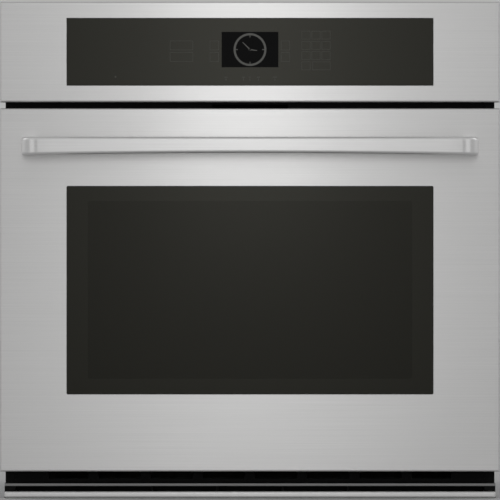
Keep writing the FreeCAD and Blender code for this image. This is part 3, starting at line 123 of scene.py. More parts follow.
def block(name: str, low: Point, high: Point) -> bpy.types.Object:
    """Adds a cube stretched between two corners.

    Args:
        name: Name of the piece.
        low: Lowest corner.
        high: Highest corner.

    Returns:
        The new object.
    """
    deselect()
    centre = [(a + b) / 2 for a, b in zip(low, high)]
    bpy.ops.mesh.primitive_cube_add(size=1, location=centre)
    piece = bpy.context.object
    piece.name = name
    piece.scale = [b - a for a, b in zip(low, high)]
    return settle(piece)


def drum(
    name: str, centre: Point, radius: float, depth: float, axis: Axis, sides: int = 32
) -> bpy.types.Object:
    """Adds a cylinder along an axis.

    Args:
        name: Name of the piece.
        centre: Middle of the cylinder.
        radius: Its radius.
        depth: Its length.
        axis: The axis it lies along.
        sides: Number of sides.

    Returns:
        The new object.
    """
    deselect()
    turn = {
        Axis.X: (0, math.pi / 2, 0),
        Axis.Y: (math.pi / 2, 0, 0),
        Axis.Z: (0, 0, 0),
    }[axis]
    bpy.ops.mesh.primitive_cylinder_add(
        vertices=sides, radius=radius, depth=depth, location=centre, rotation=turn
    )
    piece = bpy.context.object
    piece.name = name
    return settle(piece)


def pick_edges(piece: bpy.types.Object, wanted: Callable[[Vector, Vector], bool]) -> int:
    """Selects the edges whose two ends pass a test, and leaves the piece in edit mode.

    Args:
        piece: The piece to select on.
        wanted: A test of the two ends of an edge.

    Returns:
        How many edges were selected.
    """
    activate(piece)
    bpy.ops.object.mode_set(mode="EDIT")
    bpy.ops.mesh.select_mode(type="EDGE")
    bpy.ops.mesh.select_all(action="DESELECT")
    bpy.ops.object.mode_set(mode="OBJECT")
    mesh = piece.data
    count = 0
    for edge in mesh.edges:
        a, b = (mesh.vertices[i].co for i in edge.vertices)
        edge.select = bool(wanted(a, b))
        count += edge.select
    bpy.ops.object.mode_set(mode="EDIT")
    return count


def pick_faces(piece: bpy.types.Object, wanted: Callable[[Vector, Vector], bool]) -> int:
    """Selects the faces whose centre and normal pass a test, and stays in edit mode.

    Args:
        piece: The piece to select on.
        wanted: A test of a face's centre and normal.

    Returns:
        How many faces were selected.
    """
    activate(piece)
    bpy.ops.object.mode_set(mode="EDIT")
    bpy.ops.mesh.select_mode(type="FACE")
    bpy.ops.mesh.select_all(action="DESELECT")
    bpy.ops.object.mode_set(mode="OBJECT")
    count = 0
    for face in piece.data.polygons:
        face.select = bool(wanted(face.center, face.normal))
        count += face.select
    bpy.ops.object.mode_set(mode="EDIT")
    return count


def object_mode() -> None:
    """Returns to object mode."""
    bpy.ops.object.mode_set(mode="OBJECT")


def round_edges(
    piece: bpy.types.Object,
    width: float,
    steps: int,
    wanted: Callable[[Vector, Vector], bool] = lambda a, b: True,
) -> bpy.types.Object:
    """Bevels the chosen edges of a piece.

    Args:
        piece: The piece to bevel.
        width: Bevel width.
        steps: Segments across the bevel.
        wanted: A test of the two ends of an edge.

    Returns:
        The same piece.
    """
    if pick_edges(piece, wanted):
        bpy.ops.mesh.bevel(offset=width, segments=steps, affect="EDGES", profile=0.5)
    object_mode()
    return piece


def runs_back(a: Vector, b: Vector) -> bool:
    """Tells whether an edge runs from front to rear for over a millimetre."""
    return abs(a.y - b.y) > MM


def carve(piece: bpy.types.Object, cutters: Iterable[bpy.types.Object]) -> bpy.types.Object:
    """Cuts other pieces out of one and removes them.

    Args:
        piece: The piece to cut.
        cutters: The pieces to cut away.

    Returns:
        The same piece.
    """
    for cutter in cutters:
        activate(piece)
        tool = piece.modifiers.new("carve", "BOOLEAN")
        tool.operation = "DIFFERENCE"
        tool.solver = "EXACT"
        tool.object = cutter
        bpy.ops.object.modifier_apply(modifier=tool.name)
        bpy.data.objects.remove(cutter)
    return piece


def unite(name: str, parts: list[bpy.types.Object]) -> bpy.types.Object:
    """Joins several pieces into one object.

    Args:
        name: Name of the joined piece.
        parts: The pieces to join.

    Returns:
        The joined piece.
    """
    deselect()
    for part in parts:
        part.select_set(True)
    bpy.context.view_layer.objects.active = parts[0]
    if len(parts) > 1:
        bpy.ops.object.join()
    piece = bpy.context.object
    piece.name = name
    return piece


def copy_to(model: bpy.types.Object, shift: Vector) -> bpy.types.Object:
    """Copies a piece, mesh and all, and moves the copy.

    Args:
        model: The piece to copy.
        shift: How far to move the copy.

    Returns:
        The copy, at the origin with its place in its mesh.
    """
    activate(model)
    bpy.ops.object.duplicate(linked=False)
    twin = bpy.context.object
    bpy.ops.transform.translate(value=shift)
    return settle(twin)


def mirror_x(piece: bpy.types.Object) -> bpy.types.Object:
    """Adds the mirror image of a piece across the middle of the oven.

    Args:
        piece: The right-hand piece.

    Returns:
        The same object, holding both halves.
    """
    activate(piece)
    tool = piece.modifiers.new("mirror", "MIRROR")
    tool.use_axis[0] = True
    tool.merge_threshold = 0.00001
    bpy.ops.object.modifier_apply(modifier=tool.name)
    return piece


def outward(piece: bpy.types.Object) -> bpy.types.Object:
    """Merges doubles and turns every face outwards.

    Args:
        piece: The piece to clean.

    Returns:
        The same piece.
    """
    activate(piece)
    bpy.ops.object.mode_set(mode="EDIT")
    bpy.ops.mesh.select_all(action="SELECT")
    bpy.ops.mesh.remove_doubles(threshold=0.000005)
    bpy.ops.mesh.normals_make_consistent(inside=False)
    object_mode()
    return piece


def smooth(piece: bpy.types.Object, degrees: float = 35.0) -> bpy.types.Object:
    """Shades a piece smooth where its faces meet at less than an angle.

    Args:
        piece: The piece to shade.
        degrees: The sharpest angle that still looks smooth.

    Returns:
        The same piece.
    """
    activate(piece)
    bpy.ops.object.shade_smooth_by_angle(angle=math.radians(degrees))
    even_normals(piece)
    bpy.ops.object.modifier_apply(modifier="even_normals")
    return piece


def even_normals(piece: bpy.types.Object) -> None:
    """Keeps large flat faces flat beside small rounded ones.

    Args:
        piece: The piece to treat.
    """
    tool = piece.modifiers.new("even_normals", "WEIGHTED_NORMAL")
    tool.keep_sharp = True
    tool.weight = 100


def ring_plate(
    name: str, centre: Point, outer: float, stroke: float, depth: float, sides: int = 64
) -> bpy.types.Object:
    """Makes a thin flat ring that faces the front.

    Args:
        name: Name of the piece.
        centre: Middle of the ring.
        outer: Outer radius.
        stroke: Width of the ring.
        depth: Thickness along Y.
        sides: Number of sides.

    Returns:
        The ring.
    """
    deselect()
    bpy.ops.mesh.primitive_circle_add(
        vertices=sides, radius=outer, fill_type="NGON", location=centre,
        rotation=(math.pi / 2, 0, 0),
    )
    piece = bpy.context.object
    piece.name = name
    settle(piece)
    return open_plate(piece, stroke, depth)


def frame_plate(
    name: str, low: Point, high: Point, stroke: float, depth: float
) -> bpy.types.Object:
    """Makes a thin rectangular outline that faces the front.

    Args:
        name: Name of the piece.
        low: Lower left corner, with the plane's Y.
        high: Upper right corner.
        stroke: Width of the outline.
        depth: Thickness along Y.

    Returns:
        The outline.
    """
    deselect()
    middle = [(a + b) / 2 for a, b in zip(low, high)]
    bpy.ops.mesh.primitive_plane_add(size=1, location=middle, rotation=(math.pi / 2, 0, 0))
    piece = bpy.context.object
    piece.name = name
    piece.scale = (high[0] - low[0], high[2] - low[2], 1)
    settle(piece)
    return open_plate(piece, stroke, depth)


def open_plate(piece: bpy.types.Object, stroke: float, depth: float) -> bpy.types.Object:
    """Insets a flat piece, drops its middle and gives the rest a thickness.

    Args:
        piece: A single flat face.
        stroke: Width left around the opening.
        depth: Thickness to extrude towards the front.

    Returns:
        The same piece.
    """
    activate(piece)
    bpy.ops.object.mode_set(mode="EDIT")
    bpy.ops.mesh.select_mode(type="FACE")
    bpy.ops.mesh.select_all(action="SELECT")
    bpy.ops.mesh.inset(thickness=stroke, depth=0)
    bpy.ops.mesh.delete(type="FACE")
    bpy.ops.mesh.select_all(action="SELECT")
    bpy.ops.mesh.extrude_region_move(TRANSFORM_OT_translate={"value": (0, -depth, 0)})
    object_mode()
    return outward(piece)


# ---- finishes ----


class Recipe:
    """A node material under construction."""

    def __init__(self, name: str) -> None:
        """Starts a material with one shader.

        Args:
            name: Name of the material.
        """
        self.material = bpy.data.materials.new(name)
        self.material.use_nodes = True
        self.tree = self.material.node_tree
        self.shader = self.tree.nodes["Principled BSDF"]

    def add(self, kind: str, **values: object) -> bpy.types.Node:
        """Adds a node and sets its properties.

        Args:
            kind: Blender's name of the node.
            values: Properties to set on it.

        Returns:
            The node.
        """
        node = self.tree.nodes.new(kind)
        for key, value in values.items():
            setattr(node, key, value)
        return node

    def link(self, source: bpy.types.NodeSocket, target: bpy.types.NodeSocket) -> None:
        """Joins two sockets."""
        self.tree.links.new(source, target)

    def shine(self, **values: object) -> None:
        """Sets constants on the shader's own sockets."""
        for key, value in values.items():
            self.shader.inputs[key.replace("_", " ")].default_value = value

    def place(self, scale: Point = (1, 1, 1)) -> bpy.types.NodeSocket:
        """Gives object coordinates, stretched.

        Args:
            scale: Stretch along each axis.

        Returns:
            The vector socket.
        """
        coords = self.add("ShaderNodeTexCoord")
        mapping = self.add("ShaderNodeMapping")
        mapping.inputs["Scale"].default_value = scale
        self.link(coords.outputs["Object"], mapping.inputs["Vector"])
        return mapping.outputs["Vector"]

    def noise(
        self, vector: bpy.types.NodeSocket, scale: float, detail: float = 3, rough: float = 0.5
    ) -> bpy.types.NodeSocket:
        """Adds noise and gives its value.

        Args:
            vector: Where the pattern is read.
            scale: How fine it is.
            detail: How many layers it has.
            rough: How strong the finer layers are.

        Returns:
            The value socket.
        """
        node = self.add("ShaderNodeTexNoise")
        node.inputs["Scale"].default_value = scale
        node.inputs["Detail"].default_value = detail
        node.inputs["Roughness"].default_value = rough
        self.link(vector, node.inputs["Vector"])
        return node.outputs["Fac"]

    def cells(
        self, vector: bpy.types.NodeSocket, scale: float, output: str = "Distance"
    ) -> bpy.types.NodeSocket:
        """Adds a cell pattern and gives one of its outputs.

        Args:
            vector: Where the pattern is read.
            scale: How fine it is.
            output: The node's output to give.

        Returns:
            The chosen output's socket.
        """
        node = self.add("ShaderNodeTexVoronoi")
        node.inputs["Scale"].default_value = scale
        self.link(vector, node.inputs["Vector"])
        return node.outputs[output]

    def ramp(
        self, value: bpy.types.NodeSocket, stops: list[tuple[float, Colour]]
    ) -> bpy.types.NodeSocket:
        """Maps a value to colours.

        Args:
            value: The driving socket.
            stops: Positions and colours.

        Returns:
            The colour socket.
        """
        node = self.add("ShaderNodeValToRGB")
        elements = node.color_ramp.elements
        for index, (position, colour) in enumerate(stops):
            stop = elements[index] if index < 2 else elements.new(position)
            stop.position = position
            stop.color = (*colour, 1)
        self.link(value, node.inputs["Fac"])
        return node.outputs["Color"]

    def vary(
        self, value: bpy.types.NodeSocket, colour: Colour, low: float, high: float
    ) -> bpy.types.NodeSocket:
        """Varies the brightness of one colour by a value.

        Args:
            value: The driving socket.
            colour: The colour to vary.
            low: Its brightness at the low end.
            high: Its brightness at the high end.

        Returns:
            The colour socket.
        """
        return self.ramp(value, [(0.3, shade(colour, low)), (0.7, shade(colour, high))])

    def span(self, value: bpy.types.NodeSocket, low: float, high: float) -> bpy.types.NodeSocket:
        """Maps a 0 to 1 value onto a range.

        Args:
            value: The driving socket.
            low: What 0 becomes.
            high: What 1 becomes.

        Returns:
            The result socket.
        """
        node = self.add("ShaderNodeMapRange")
        node.inputs["To Min"].default_value = low
        node.inputs["To Max"].default_value = high
        self.link(value, node.inputs["Value"])
        return node.outputs["Result"]

    def bump(self, height: bpy.types.NodeSocket, strength: float, distance: float) -> None:
        """Raises the surface by a height pattern.

        Args:
            height: The height pattern.
            strength: How much of it shows.
            distance: How deep it is, in metres.
        """
        node = self.add("ShaderNodeBump")
        node.inputs["Strength"].default_value = strength
        node.inputs["Distance"].default_value = distance
        self.link(height, node.inputs["Height"])
        self.link(node.outputs["Normal"], self.shader.inputs["Normal"])

    def along(self, direction: Point) -> None:
        """Lays the shine's long axis along one of the piece's own directions.

        Args:
            direction: The direction, in the piece's own axes.
        """
        node = self.add("ShaderNodeVectorTransform", vector_type="VECTOR")
        node.convert_from = "OBJECT"
        node.convert_to = "WORLD"
        node.inputs["Vector"].default_value = direction
        self.link(node.outputs["Vector"], self.shader.inputs["Tangent"])

    def colour(self, source: bpy.types.NodeSocket) -> None:
        """Feeds the base colour."""
        self.link(source, self.shader.inputs["Base Color"])

    def roughness(self, source: bpy.types.NodeSocket) -> None:
        """Feeds the roughness."""
        self.link(source, self.shader.inputs["Roughness"])


def shade(colour: Colour, factor: float) -> Colour:
    """Darkens or lightens a colour."""
    return tuple(min(1.0, c * factor) for c in colour)


@dataclass(frozen=True)
class BrushedSteel:
    """Stainless sheet with a fine straight grain."""

    name: str
    colour: Colour = (0.745, 0.742, 0.737)
    rough: float = 0.32
    grain: Point = (1.2, 1.2, 900.0)
    depth: float = 0.00004
    stretch: float = 0.75
    across: Point = (0.0, -0.35, 1.0)
    drift: float = 0.03

    def material(self) -> bpy.types.Material:
        """Builds the material.

        Returns:
            The material.
        """
        r = Recipe(self.name)
        r.shine(Metallic=1.0, Anisotropic=self.stretch)
        r.along(self.across)
        grain = r.noise(r.place(self.grain), 3.0, 4, 0.65)
        broad = r.noise(r.place(), 2.5, 2)
        r.colour(r.vary(grain, self.colour, 0.93, 1.05))
        r.roughness(r.span(broad, self.rough - self.drift, self.rough + self.drift))
        r.bump(grain, 0.5, self.depth)
        return r.material


@dataclass(frozen=True)
class ZincSheet:
    """Galvanised sheet with a soft spangle."""

    name: str = "zinc_sheet"
    dark: Colour = (0.42, 0.44, 0.45)
    pale: Colour = (0.56, 0.57, 0.58)
    spangles: float = 90.0
    smoothest: float = 0.36
    roughest: float = 0.55
    pits: float = 260.0
    depth: float = 0.0001

    def material(self) -> bpy.types.Material:
        """Builds the material.

        Returns:
            The material.
        """
        r = Recipe(self.name)
        r.shine(Metallic=0.85)
        spangle = r.cells(r.place(), self.spangles, "Color")
        split = r.add("ShaderNodeSeparateColor")
        r.link(spangle, split.inputs["Color"])
        r.colour(r.ramp(split.outputs["Red"], [(0.0, self.dark), (1.0, self.pale)]))
        r.roughness(r.span(split.outputs["Green"], self.smoothest, self.roughest))
        r.bump(r.noise(r.place(), self.pits), 0.15, self.depth)
        return r.material


@dataclass(frozen=True)
class Paint:
    """Sprayed paint or moulded plastic with a faint skin."""

    name: str
    colour: Colour
    rough: float = 0.4
    texture: float = 900.0
    depth: float = 0.00005
    metal: float = 0.0
    gloss: float = 0.5
    mottles: float = 35.0
    drift: float = 0.04

    def material(self) -> bpy.types.Material:
        """Builds the material.

        Returns:
            The material.
        """
        r = Recipe(self.name)
        r.shine(Metallic=self.metal, Specular_IOR_Level=self.gloss)
        mottle = r.noise(r.place(), self.mottles, 3)
        r.colour(r.vary(mottle, self.colour, 0.88, 1.1))
        r.roughness(r.span(mottle, self.rough - self.drift, self.rough + self.drift))
        r.bump(r.noise(r.place(), self.texture, 2), 0.4, self.depth)
        return r.material


@dataclass(frozen=True)
class Enamel:
    """Dark glass enamel with pale specks."""

    name: str = "enamel"
    ground: Colour = (0.015, 0.018, 0.026)
    halo: Colour = (0.022, 0.025, 0.034)
    rim: Colour = (0.20, 0.22, 0.26)
    speck: Colour = (0.32, 0.34, 0.38)
    specks: float = 420.0
    rough: float = 0.16
    coat: float = 0.5
    ripple: float = 120.0
    depth: float = 0.0003

    def material(self) -> bpy.types.Material:
        """Builds the material.

        Returns:
            The material.
        """
        r = Recipe(self.name)
        specks = r.cells(r.place(), self.specks)
        stops = [(0.0, self.speck), (0.17, self.rim), (0.24, self.halo), (1.0, self.ground)]
        r.colour(r.ramp(specks, stops))
        r.shine(Roughness=self.rough, Coat_Weight=self.coat)
        r.bump(r.noise(r.place(), self.ripple, 2), 0.25, self.depth)
        return r.material


@dataclass(frozen=True)
class Plated:
    """Bright plated wire or screw metal."""

    name: str
    colour: Colour = (0.72, 0.72, 0.73)
    rough: float = 0.16
    haze: float = 70.0

    def material(self) -> bpy.types.Material:
        """Builds the material.

        Returns:
            The material.
        """
        r = Recipe(self.name)
        r.shine(Metallic=1.0)
        haze = r.noise(r.place(), self.haze, 4)
        r.colour(r.vary(haze, self.colour, 0.9, 1.0))
        r.roughness(r.span(haze, self.rough * 0.7, self.rough * 1.5))
        return r.material


@dataclass(frozen=True)
class Glass:
    """Flat glass, tinted, that lets some of what is behind it show."""

    name: str
    tint: Colour
    clear: float
    rough: float = 0.04
    gloss: float = 0.5
    cast: Colour = (1.0, 1.0, 1.0)
    bend: float = 1.52
    waves: float = 6.0

    def material(self) -> bpy.types.Material:
        """Builds the material.

        Returns:
            The material.
        """
        r = Recipe(self.name)
        wave = r.noise(r.place(), self.waves, 1)
        r.colour(r.vary(wave, self.tint, 0.95, 1.05))
        r.shine(Roughness=self.rough, IOR=self.bend, Alpha=1 - self.clear)
        r.shine(Specular_IOR_Level=self.gloss, Specular_Tint=(*self.cast, 1.0))
        r.material.blend_method = "BLEND"
        return r.material


@dataclass(frozen=True)
class Print:
    """Ceramic ink on glass."""

    name: str
    colour: Colour
    rough: float = 0.5
    gloss: float = 0.5
    cast: Colour = (1.0, 1.0, 1.0)
    dots: float = 1500.0

    def material(self) -> bpy.types.Material:
        """Builds the material.

        Returns:
            The material.
        """
        r = Recipe(self.name)
        dots = r.noise(r.place(), self.dots, 1)
        r.colour(r.vary(dots, self.colour, 0.9, 1.1))
        r.shine(Roughness=self.rough, Specular_IOR_Level=self.gloss)
        r.shine(Specular_Tint=(*self.cast, 1.0))
        return r.material


@dataclass(frozen=True)
class Fibre:
    """Glass wool or woven glass braid."""

    name: str
    colour: Colour
    weave: bool = False
    strands: float = 520.0
    tufts: float = 130.0
    lie: Point = (1, 6, 1)
    depth: float = 0.0008

    def material(self) -> bpy.types.Material:
        """Builds the material.

        Returns:
            The material.
        """
        r = Recipe(self.name)
        if self.weave:
            pattern = r.cells(r.place(), self.strands)
        else:
            pattern = r.noise(r.place(self.lie), self.tufts, 8, 0.7)
        r.colour(r.ramp(pattern, [(0.2, shade(self.colour, 0.6)), (0.8, shade(self.colour, 1.15))]))
        r.shine(Roughness=0.95)
        r.bump(pattern, 0.9, self.depth)
        return r.material


@dataclass(frozen=True)
class Board:
    """Circuit board with green mask and copper runs."""

    name: str = "board"
    mask: Colour = (0.02, 0.16, 0.06)
    run: Colour = (0.05, 0.26, 0.10)
    lie: Point = (1, 3, 3)
    runs: float = 60.0
    depth: float = 0.0002

    def material(self) -> bpy.types.Material:
        """Builds the material.

        Returns:
            The material.
        """
        r = Recipe(self.name)
        runs = r.cells(r.place(self.lie), self.runs)
        r.colour(r.ramp(runs, [(0.30, self.mask), (0.42, self.run)]))
        r.shine(Roughness=0.35)
        r.bump(runs, 0.3, self.depth)
        return r.material


@dataclass(frozen=True)
class Sheath:
    """Oxidised steel tube of a heater."""

    name: str = "heater_sheath"
    dark: Colour = (0.05, 0.045, 0.045)
    pale: Colour = (0.16, 0.14, 0.13)
    flakes: float = 90.0
    depth: float = 0.0003

    def material(self) -> bpy.types.Material:
        """Builds the material.

        Returns:
            The material.
        """
        r = Recipe(self.name)
        scale = r.noise(r.place(), self.flakes, 6, 0.7)
        r.colour(r.ramp(scale, [(0.3, self.dark), (0.7, self.pale)]))
        r.shine(Metallic=0.6, Roughness=0.6)
        r.bump(scale, 0.4, self.depth)
        return r.material


WARM = (1.0, 0.985, 0.86)

FINISHES = {
    "stainless": BrushedSteel("stainless"),
    "stainless_trim": BrushedSteel("stainless_trim", colour=(0.82, 0.818, 0.814), rough=0.36),
    "handle_metal": BrushedSteel(
        "handle_metal", colour=(0.91, 0.907, 0.902), rough=0.38, grain=(1.5, 500.0, 500.0),
        stretch=0.7,
    ),
    "zinc_sheet": ZincSheet(),
    "black_paint": Paint("black_paint", colour=(0.004, 0.004, 0.004), rough=0.42, gloss=0.09),
    "enamel": Enamel(),
    "rack_wire": Plated("rack_wire"),
    "heater_sheath": Sheath(),
    "fan_steel": BrushedSteel(
        "fan_steel", colour=(0.5, 0.5, 0.5), rough=0.4, grain=(60.0, 60.0, 60.0), stretch=0.0
    ),
    "motor_body": Paint("motor_body", colour=(0.20, 0.20, 0.21), rough=0.5, metal=0.4),
    "glass_wool": Fibre("glass_wool", colour=(0.75, 0.68, 0.48)),
    "gasket_braid": Fibre("gasket_braid", colour=(0.10, 0.10, 0.095), weave=True),
    "dark_glass": Glass(
        "dark_glass", tint=(0.004, 0.004, 0.0025), clear=0.03, rough=0.22, gloss=0.24, cast=WARM
    ),
    "panel_glass": Glass(
        "panel_glass", tint=(0.006, 0.006, 0.004), clear=0.0, rough=0.22, gloss=0.27, cast=WARM
    ),
    "clear_glass": Glass("clear_glass", tint=(0.30, 0.34, 0.32), clear=0.85),
    "display": Print("display", colour=(0.0016, 0.0016, 0.0018), rough=0.3, gloss=0.06),
    "board": Board(),
    "switch_plastic": Paint("switch_plastic", colour=(0.62, 0.61, 0.57), rough=0.45),
    "bracket_steel": Plated("bracket_steel", colour=(0.50, 0.50, 0.50), rough=0.32),
    "bulb": Glass("bulb", tint=(0.9, 0.88, 0.80), clear=0.4),
    "spring_steel": Plated("spring_steel", colour=(0.25, 0.25, 0.25), rough=0.3),
    "plunger_white": Paint("plunger_white", colour=(0.75, 0.75, 0.72), rough=0.3),
}

DIAL_INK = Print("dial_ink", colour=(0.17, 0.17, 0.16), rough=0.6, gloss=0.1)
KEY_INK = Print("key_ink", colour=(0.080, 0.080, 0.070), rough=0.3, gloss=0.28)
BORDER_INK = Print(
    "border_ink", colour=(0.006, 0.006, 0.004), rough=0.22, gloss=0.28, cast=WARM
)
INNER_INK = Print("frit", colour=(0.012, 0.012, 0.012), rough=0.45)
BLADE_STEEL = BrushedSteel("blade_steel", colour=(0.27, 0.27, 0.27), rough=0.42, stretch=0.0)


class Wardrobe:
    """Builds each finish once and dresses pieces with it."""

    def __init__(self) -> None:
        """Starts with no material built."""
        self.built: dict[str, bpy.types.Material] = {}

    def material(self, slot: str) -> bpy.types.Material:
        """Gives the material of a slot, built on first use.

        Args:
            slot: The record's material slot.

        Returns:
            The material.
        """
        if slot not in self.built:
            self.built[slot] = FINISHES[slot].material()
        return self.built[slot]

    def wear(
        self, piece: bpy.types.Object, slot: str, own: bpy.types.Material | None = None
    ) -> bpy.types.Object:
        """Dresses a piece.

        Args:
            piece: The piece to dress.
            slot: The record's material slot.
            own: A material other than the slot's usual one.

        Returns:
            The same piece.
        """
        piece.data.materials.clear()
        piece.data.materials.append(own or self.material(slot))
        return piece


WARDROBE = Wardrobe()


def mount(
    piece: bpy.types.Object,
    body: str,
    slot: str,
    replaces: tuple[str, ...] = (),
    own: bpy.types.Material | None = None,
) -> bpy.types.Object:
    """Dresses a finished piece and fixes it to its body.

    Args:
        piece: The finished piece, at the origin.
        body: The CAD body it moves with.
        slot: Its material slot.
        replaces: CAD nodes that it stands for.
        own: A material other than the slot's usual one.

    Returns:
        The same piece.
    """
    WARDROBE.wear(piece, slot, own)
    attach(piece, body)
    if replaces:
        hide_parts(*replaces)
    log.info("piece %s rides on %s", piece.name, body)
    return piece


def dress_frame() -> None:
    """Gives every CAD node its finish and smooth shading."""
    slots = {s["node"]: s["material_slot"] for s in frame["record"]["subparts"]}
    for name, node in frame["nodes"].items():
        activate(node)
        bpy.ops.object.shade_smooth_by_angle(angle=math.radians(30))
        even_normals(node)
        WARDROBE.wear(node, slots[name])
        log.info("node %s wears %s", name, slots[name])


# ---- control panel ----


@dataclass(frozen=True)
class Key:
    """A mark on the glass: its middle across from the dial, and its width."""

    x: float
    width: float


@dataclass
class ControlPanel:
    """Black glass with a clock display and touch keys in the stainless panel."""

    ink: float = 0.06 * MM
    edge: float = 0.5 * MM
    window_width: float = 86.5 * MM
    window_height: float = 54 * MM
    window_edge: float = 0.02 * MM
    dial_radius: float = 25.0 * MM
    dial_stroke: float = 3.2 * MM
    mark_length: float = 3.2 * MM
    mark_width: float = 1.2 * MM
    mark_gap: float = 1.6 * MM
    hand_width: float = 2.0 * MM
    hand_tail: float = 2 * MM
    long_hand: float = 16 * MM
    long_hand_turn: float = -45.0
    short_hand: float = 11 * MM
    short_hand_turn: float = 98.0
    key_stroke: float = 0.5 * MM
    side_keys: tuple[Key, ...] = (
        Key(-104.4 * MM, 35 * MM), Key(-54.4 * MM, 13.5 * MM), Key(54.0 * MM, 13.5 * MM),
    )
    side_top: float = 6.3 * MM
    side_pitch: float = 17.5 * MM
    side_height: float = 14.2 * MM
    side_rows: int = 2
    pad_left: float = 85.3 * MM
    pad_top: float = 22 * MM
    pad_pitch: float = 15.6 * MM
    pad_step: float = 15.3 * MM
    pad_rows: int = 3
    pad_columns: int = 3
    pad_width: float = 13.2 * MM
    pad_height: float = 12.6 * MM
    start_width: float = 27.4 * MM
    icons_across: tuple[Key, ...] = (
        Key(-36.6 * MM, 5 * MM), Key(-10 * MM, 4 * MM), Key(0.0, 3 * MM),
        Key(13 * MM, 5 * MM), Key(38 * MM, 6 * MM),
    )
    icon_drop: float = 42.0 * MM
    stem_drop: float = 45.5 * MM
    icon_stroke: float = 1.1 * MM
    stem_height: float = 3.0 * MM
    lamp_left: float = 205.0 * MM
    lamp_drop: float = 41.5 * MM
    lamp_size: float = 2.4 * MM

    def __post_init__(self) -> None:
        """Reads the places of the glass and the display."""
        self.low, self.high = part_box("touch_glass")
        low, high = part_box("display_module")
        self.dial = (low + high) / 2
        self.face = self.low.y

    def glass(self) -> bpy.types.Object:
        """Cuts the glass sheet with softened edges.

        Returns:
            The glass.
        """
        sheet = block("panel_glass", self.low, self.high)
        round_edges(sheet, self.edge, 2)
        return smooth(sheet)

    def patch(self, name: str, x: float, z: float, width: float, height: float) -> bpy.types.Object:
        """Lays a filled ink patch on the glass, centred on the dial.

        Args:
            name: Name of the patch.
            x: Its middle across, from the dial.
            z: Its middle up, from the dial.
            width: Its width.
            height: Its height.

        Returns:
            The patch.
        """
        y = self.face
        low = (self.dial.x + x - width / 2, y - self.ink, self.dial.z + z - height / 2)
        high = (self.dial.x + x + width / 2, y, self.dial.z + z + height / 2)
        return block(name, low, high)

    def key(self, x: float, z: float, width: float, height: float) -> bpy.types.Object:
        """Outlines one touch key, placed from the middle of the dial.

        Args:
            x: Its middle across, from the dial.
            z: Its middle up, from the dial.
            width: Its width.
            height: Its height.

        Returns:
            The outline.
        """
        y = self.face
        low = (self.dial.x + x - width / 2, y, self.dial.z + z - height / 2)
        high = (self.dial.x + x + width / 2, y, self.dial.z + z + height / 2)
        return frame_plate("key", low, high, self.key_stroke, self.ink)

    def window(self) -> bpy.types.Object:
        """Makes the dark display window."""
        pane = self.patch("display_window", 0, 0, self.window_width, self.window_height)
        return round_edges(pane, self.window_edge, 1)

    def hand(self, length: float, turn: float) -> bpy.types.Object:
        """Makes one clock hand that tapers to its tip.

        Args:
            length: Reach from the middle.
            turn: Angle clockwise from twelve, in degrees.

        Returns:
            The hand.
        """
        y = self.face - self.ink
        half = self.hand_width / 2
        piece = block(
            "hand",
            (self.dial.x - half, y - self.ink, self.dial.z - self.hand_tail),
            (self.dial.x + half, y, self.dial.z + length),
        )
        pick_faces(piece, lambda c, n: n.z > 0.9)
        bpy.ops.transform.resize(value=(0.5, 1, 1))
        bpy.ops.mesh.select_all(action="SELECT")
        bpy.ops.transform.rotate(
            value=math.radians(-turn), orient_axis="Y",
            center_override=(self.dial.x, y, self.dial.z),
        )
        object_mode()
        return outward(piece)

    def dial_face(self) -> bpy.types.Object:
        """Makes the dial: ring, hour marks and two hands.

        Returns:
            The dial.
        """
        y = self.face - self.ink
        centre = (self.dial.x, y, self.dial.z)
        parts = [ring_plate("ring", centre, self.dial_radius, self.dial_stroke, self.ink)]
        reach = self.dial_radius - self.dial_stroke - self.mark_gap
        for x, z in ((0, reach), (reach, 0), (0, -reach), (-reach, 0)):
            wide = self.mark_length if x else self.mark_width
            tall = self.mark_length if z else self.mark_width
            low = (self.dial.x + x - wide / 2, y - self.ink, self.dial.z + z - tall / 2)
            high = (self.dial.x + x + wide / 2, y, self.dial.z + z + tall / 2)
            parts.append(block("mark", low, high))
        parts.append(self.hand(self.long_hand, self.long_hand_turn))
        parts.append(self.hand(self.short_hand, self.short_hand_turn))
        return unite("clock_dial", parts)

    def keys(self) -> bpy.types.Object:
        """Makes the outlines of all the touch keys.

        Returns:
            The outlines, joined.
        """
        parts = []
        for row in range(self.side_rows):
            z = self.side_top - self.side_pitch * row
            for key in self.side_keys:
                parts.append(self.key(key.x, z, key.width, self.side_height))
        for row in range(self.pad_rows):
            z = self.pad_top - self.pad_pitch * row
            for column in range(self.pad_columns):
                x = self.pad_left + self.pad_step * column
                parts.append(self.key(x, z, self.pad_width, self.pad_height))
        z = self.pad_top - self.pad_pitch * self.pad_rows
        parts.append(self.key(self.pad_left, z, self.pad_width, self.pad_height))
        right = self.pad_left + self.pad_step * (self.pad_columns - 1) + self.pad_width / 2
        x = right - self.start_width / 2
        parts.append(self.key(x, z, self.start_width, self.pad_height))
        return unite("touch_keys", parts)

    def icons(self) -> bpy.types.Object:
        """Makes the small generic marks under the display.

        Returns:
            The marks, joined.
        """
        parts = []
        for icon in self.icons_across:
            bar = self.patch("icon", icon.x, -self.icon_drop, icon.width, self.icon_stroke)
            stem = self.patch("icon", icon.x, -self.stem_drop, self.icon_stroke, self.stem_height)
            parts += [bar, stem]
        size = self.lamp_size
        parts.append(self.patch("icon", -self.lamp_left, -self.lamp_drop, size, size))
        return unite("panel_icons", parts)

    def build(self) -> None:
        """Builds and mounts the whole panel."""
        mount(self.glass(), "chassis", "panel_glass", ("touch_glass",))
        mount(self.window(), "chassis", "display")
        faint = KEY_INK.material()
        mount(self.dial_face(), "chassis", "display", own=DIAL_INK.material())
        mount(self.keys(), "chassis", "display", own=faint)
        mount(self.icons(), "chassis", "display", own=faint)


# ---- door ----


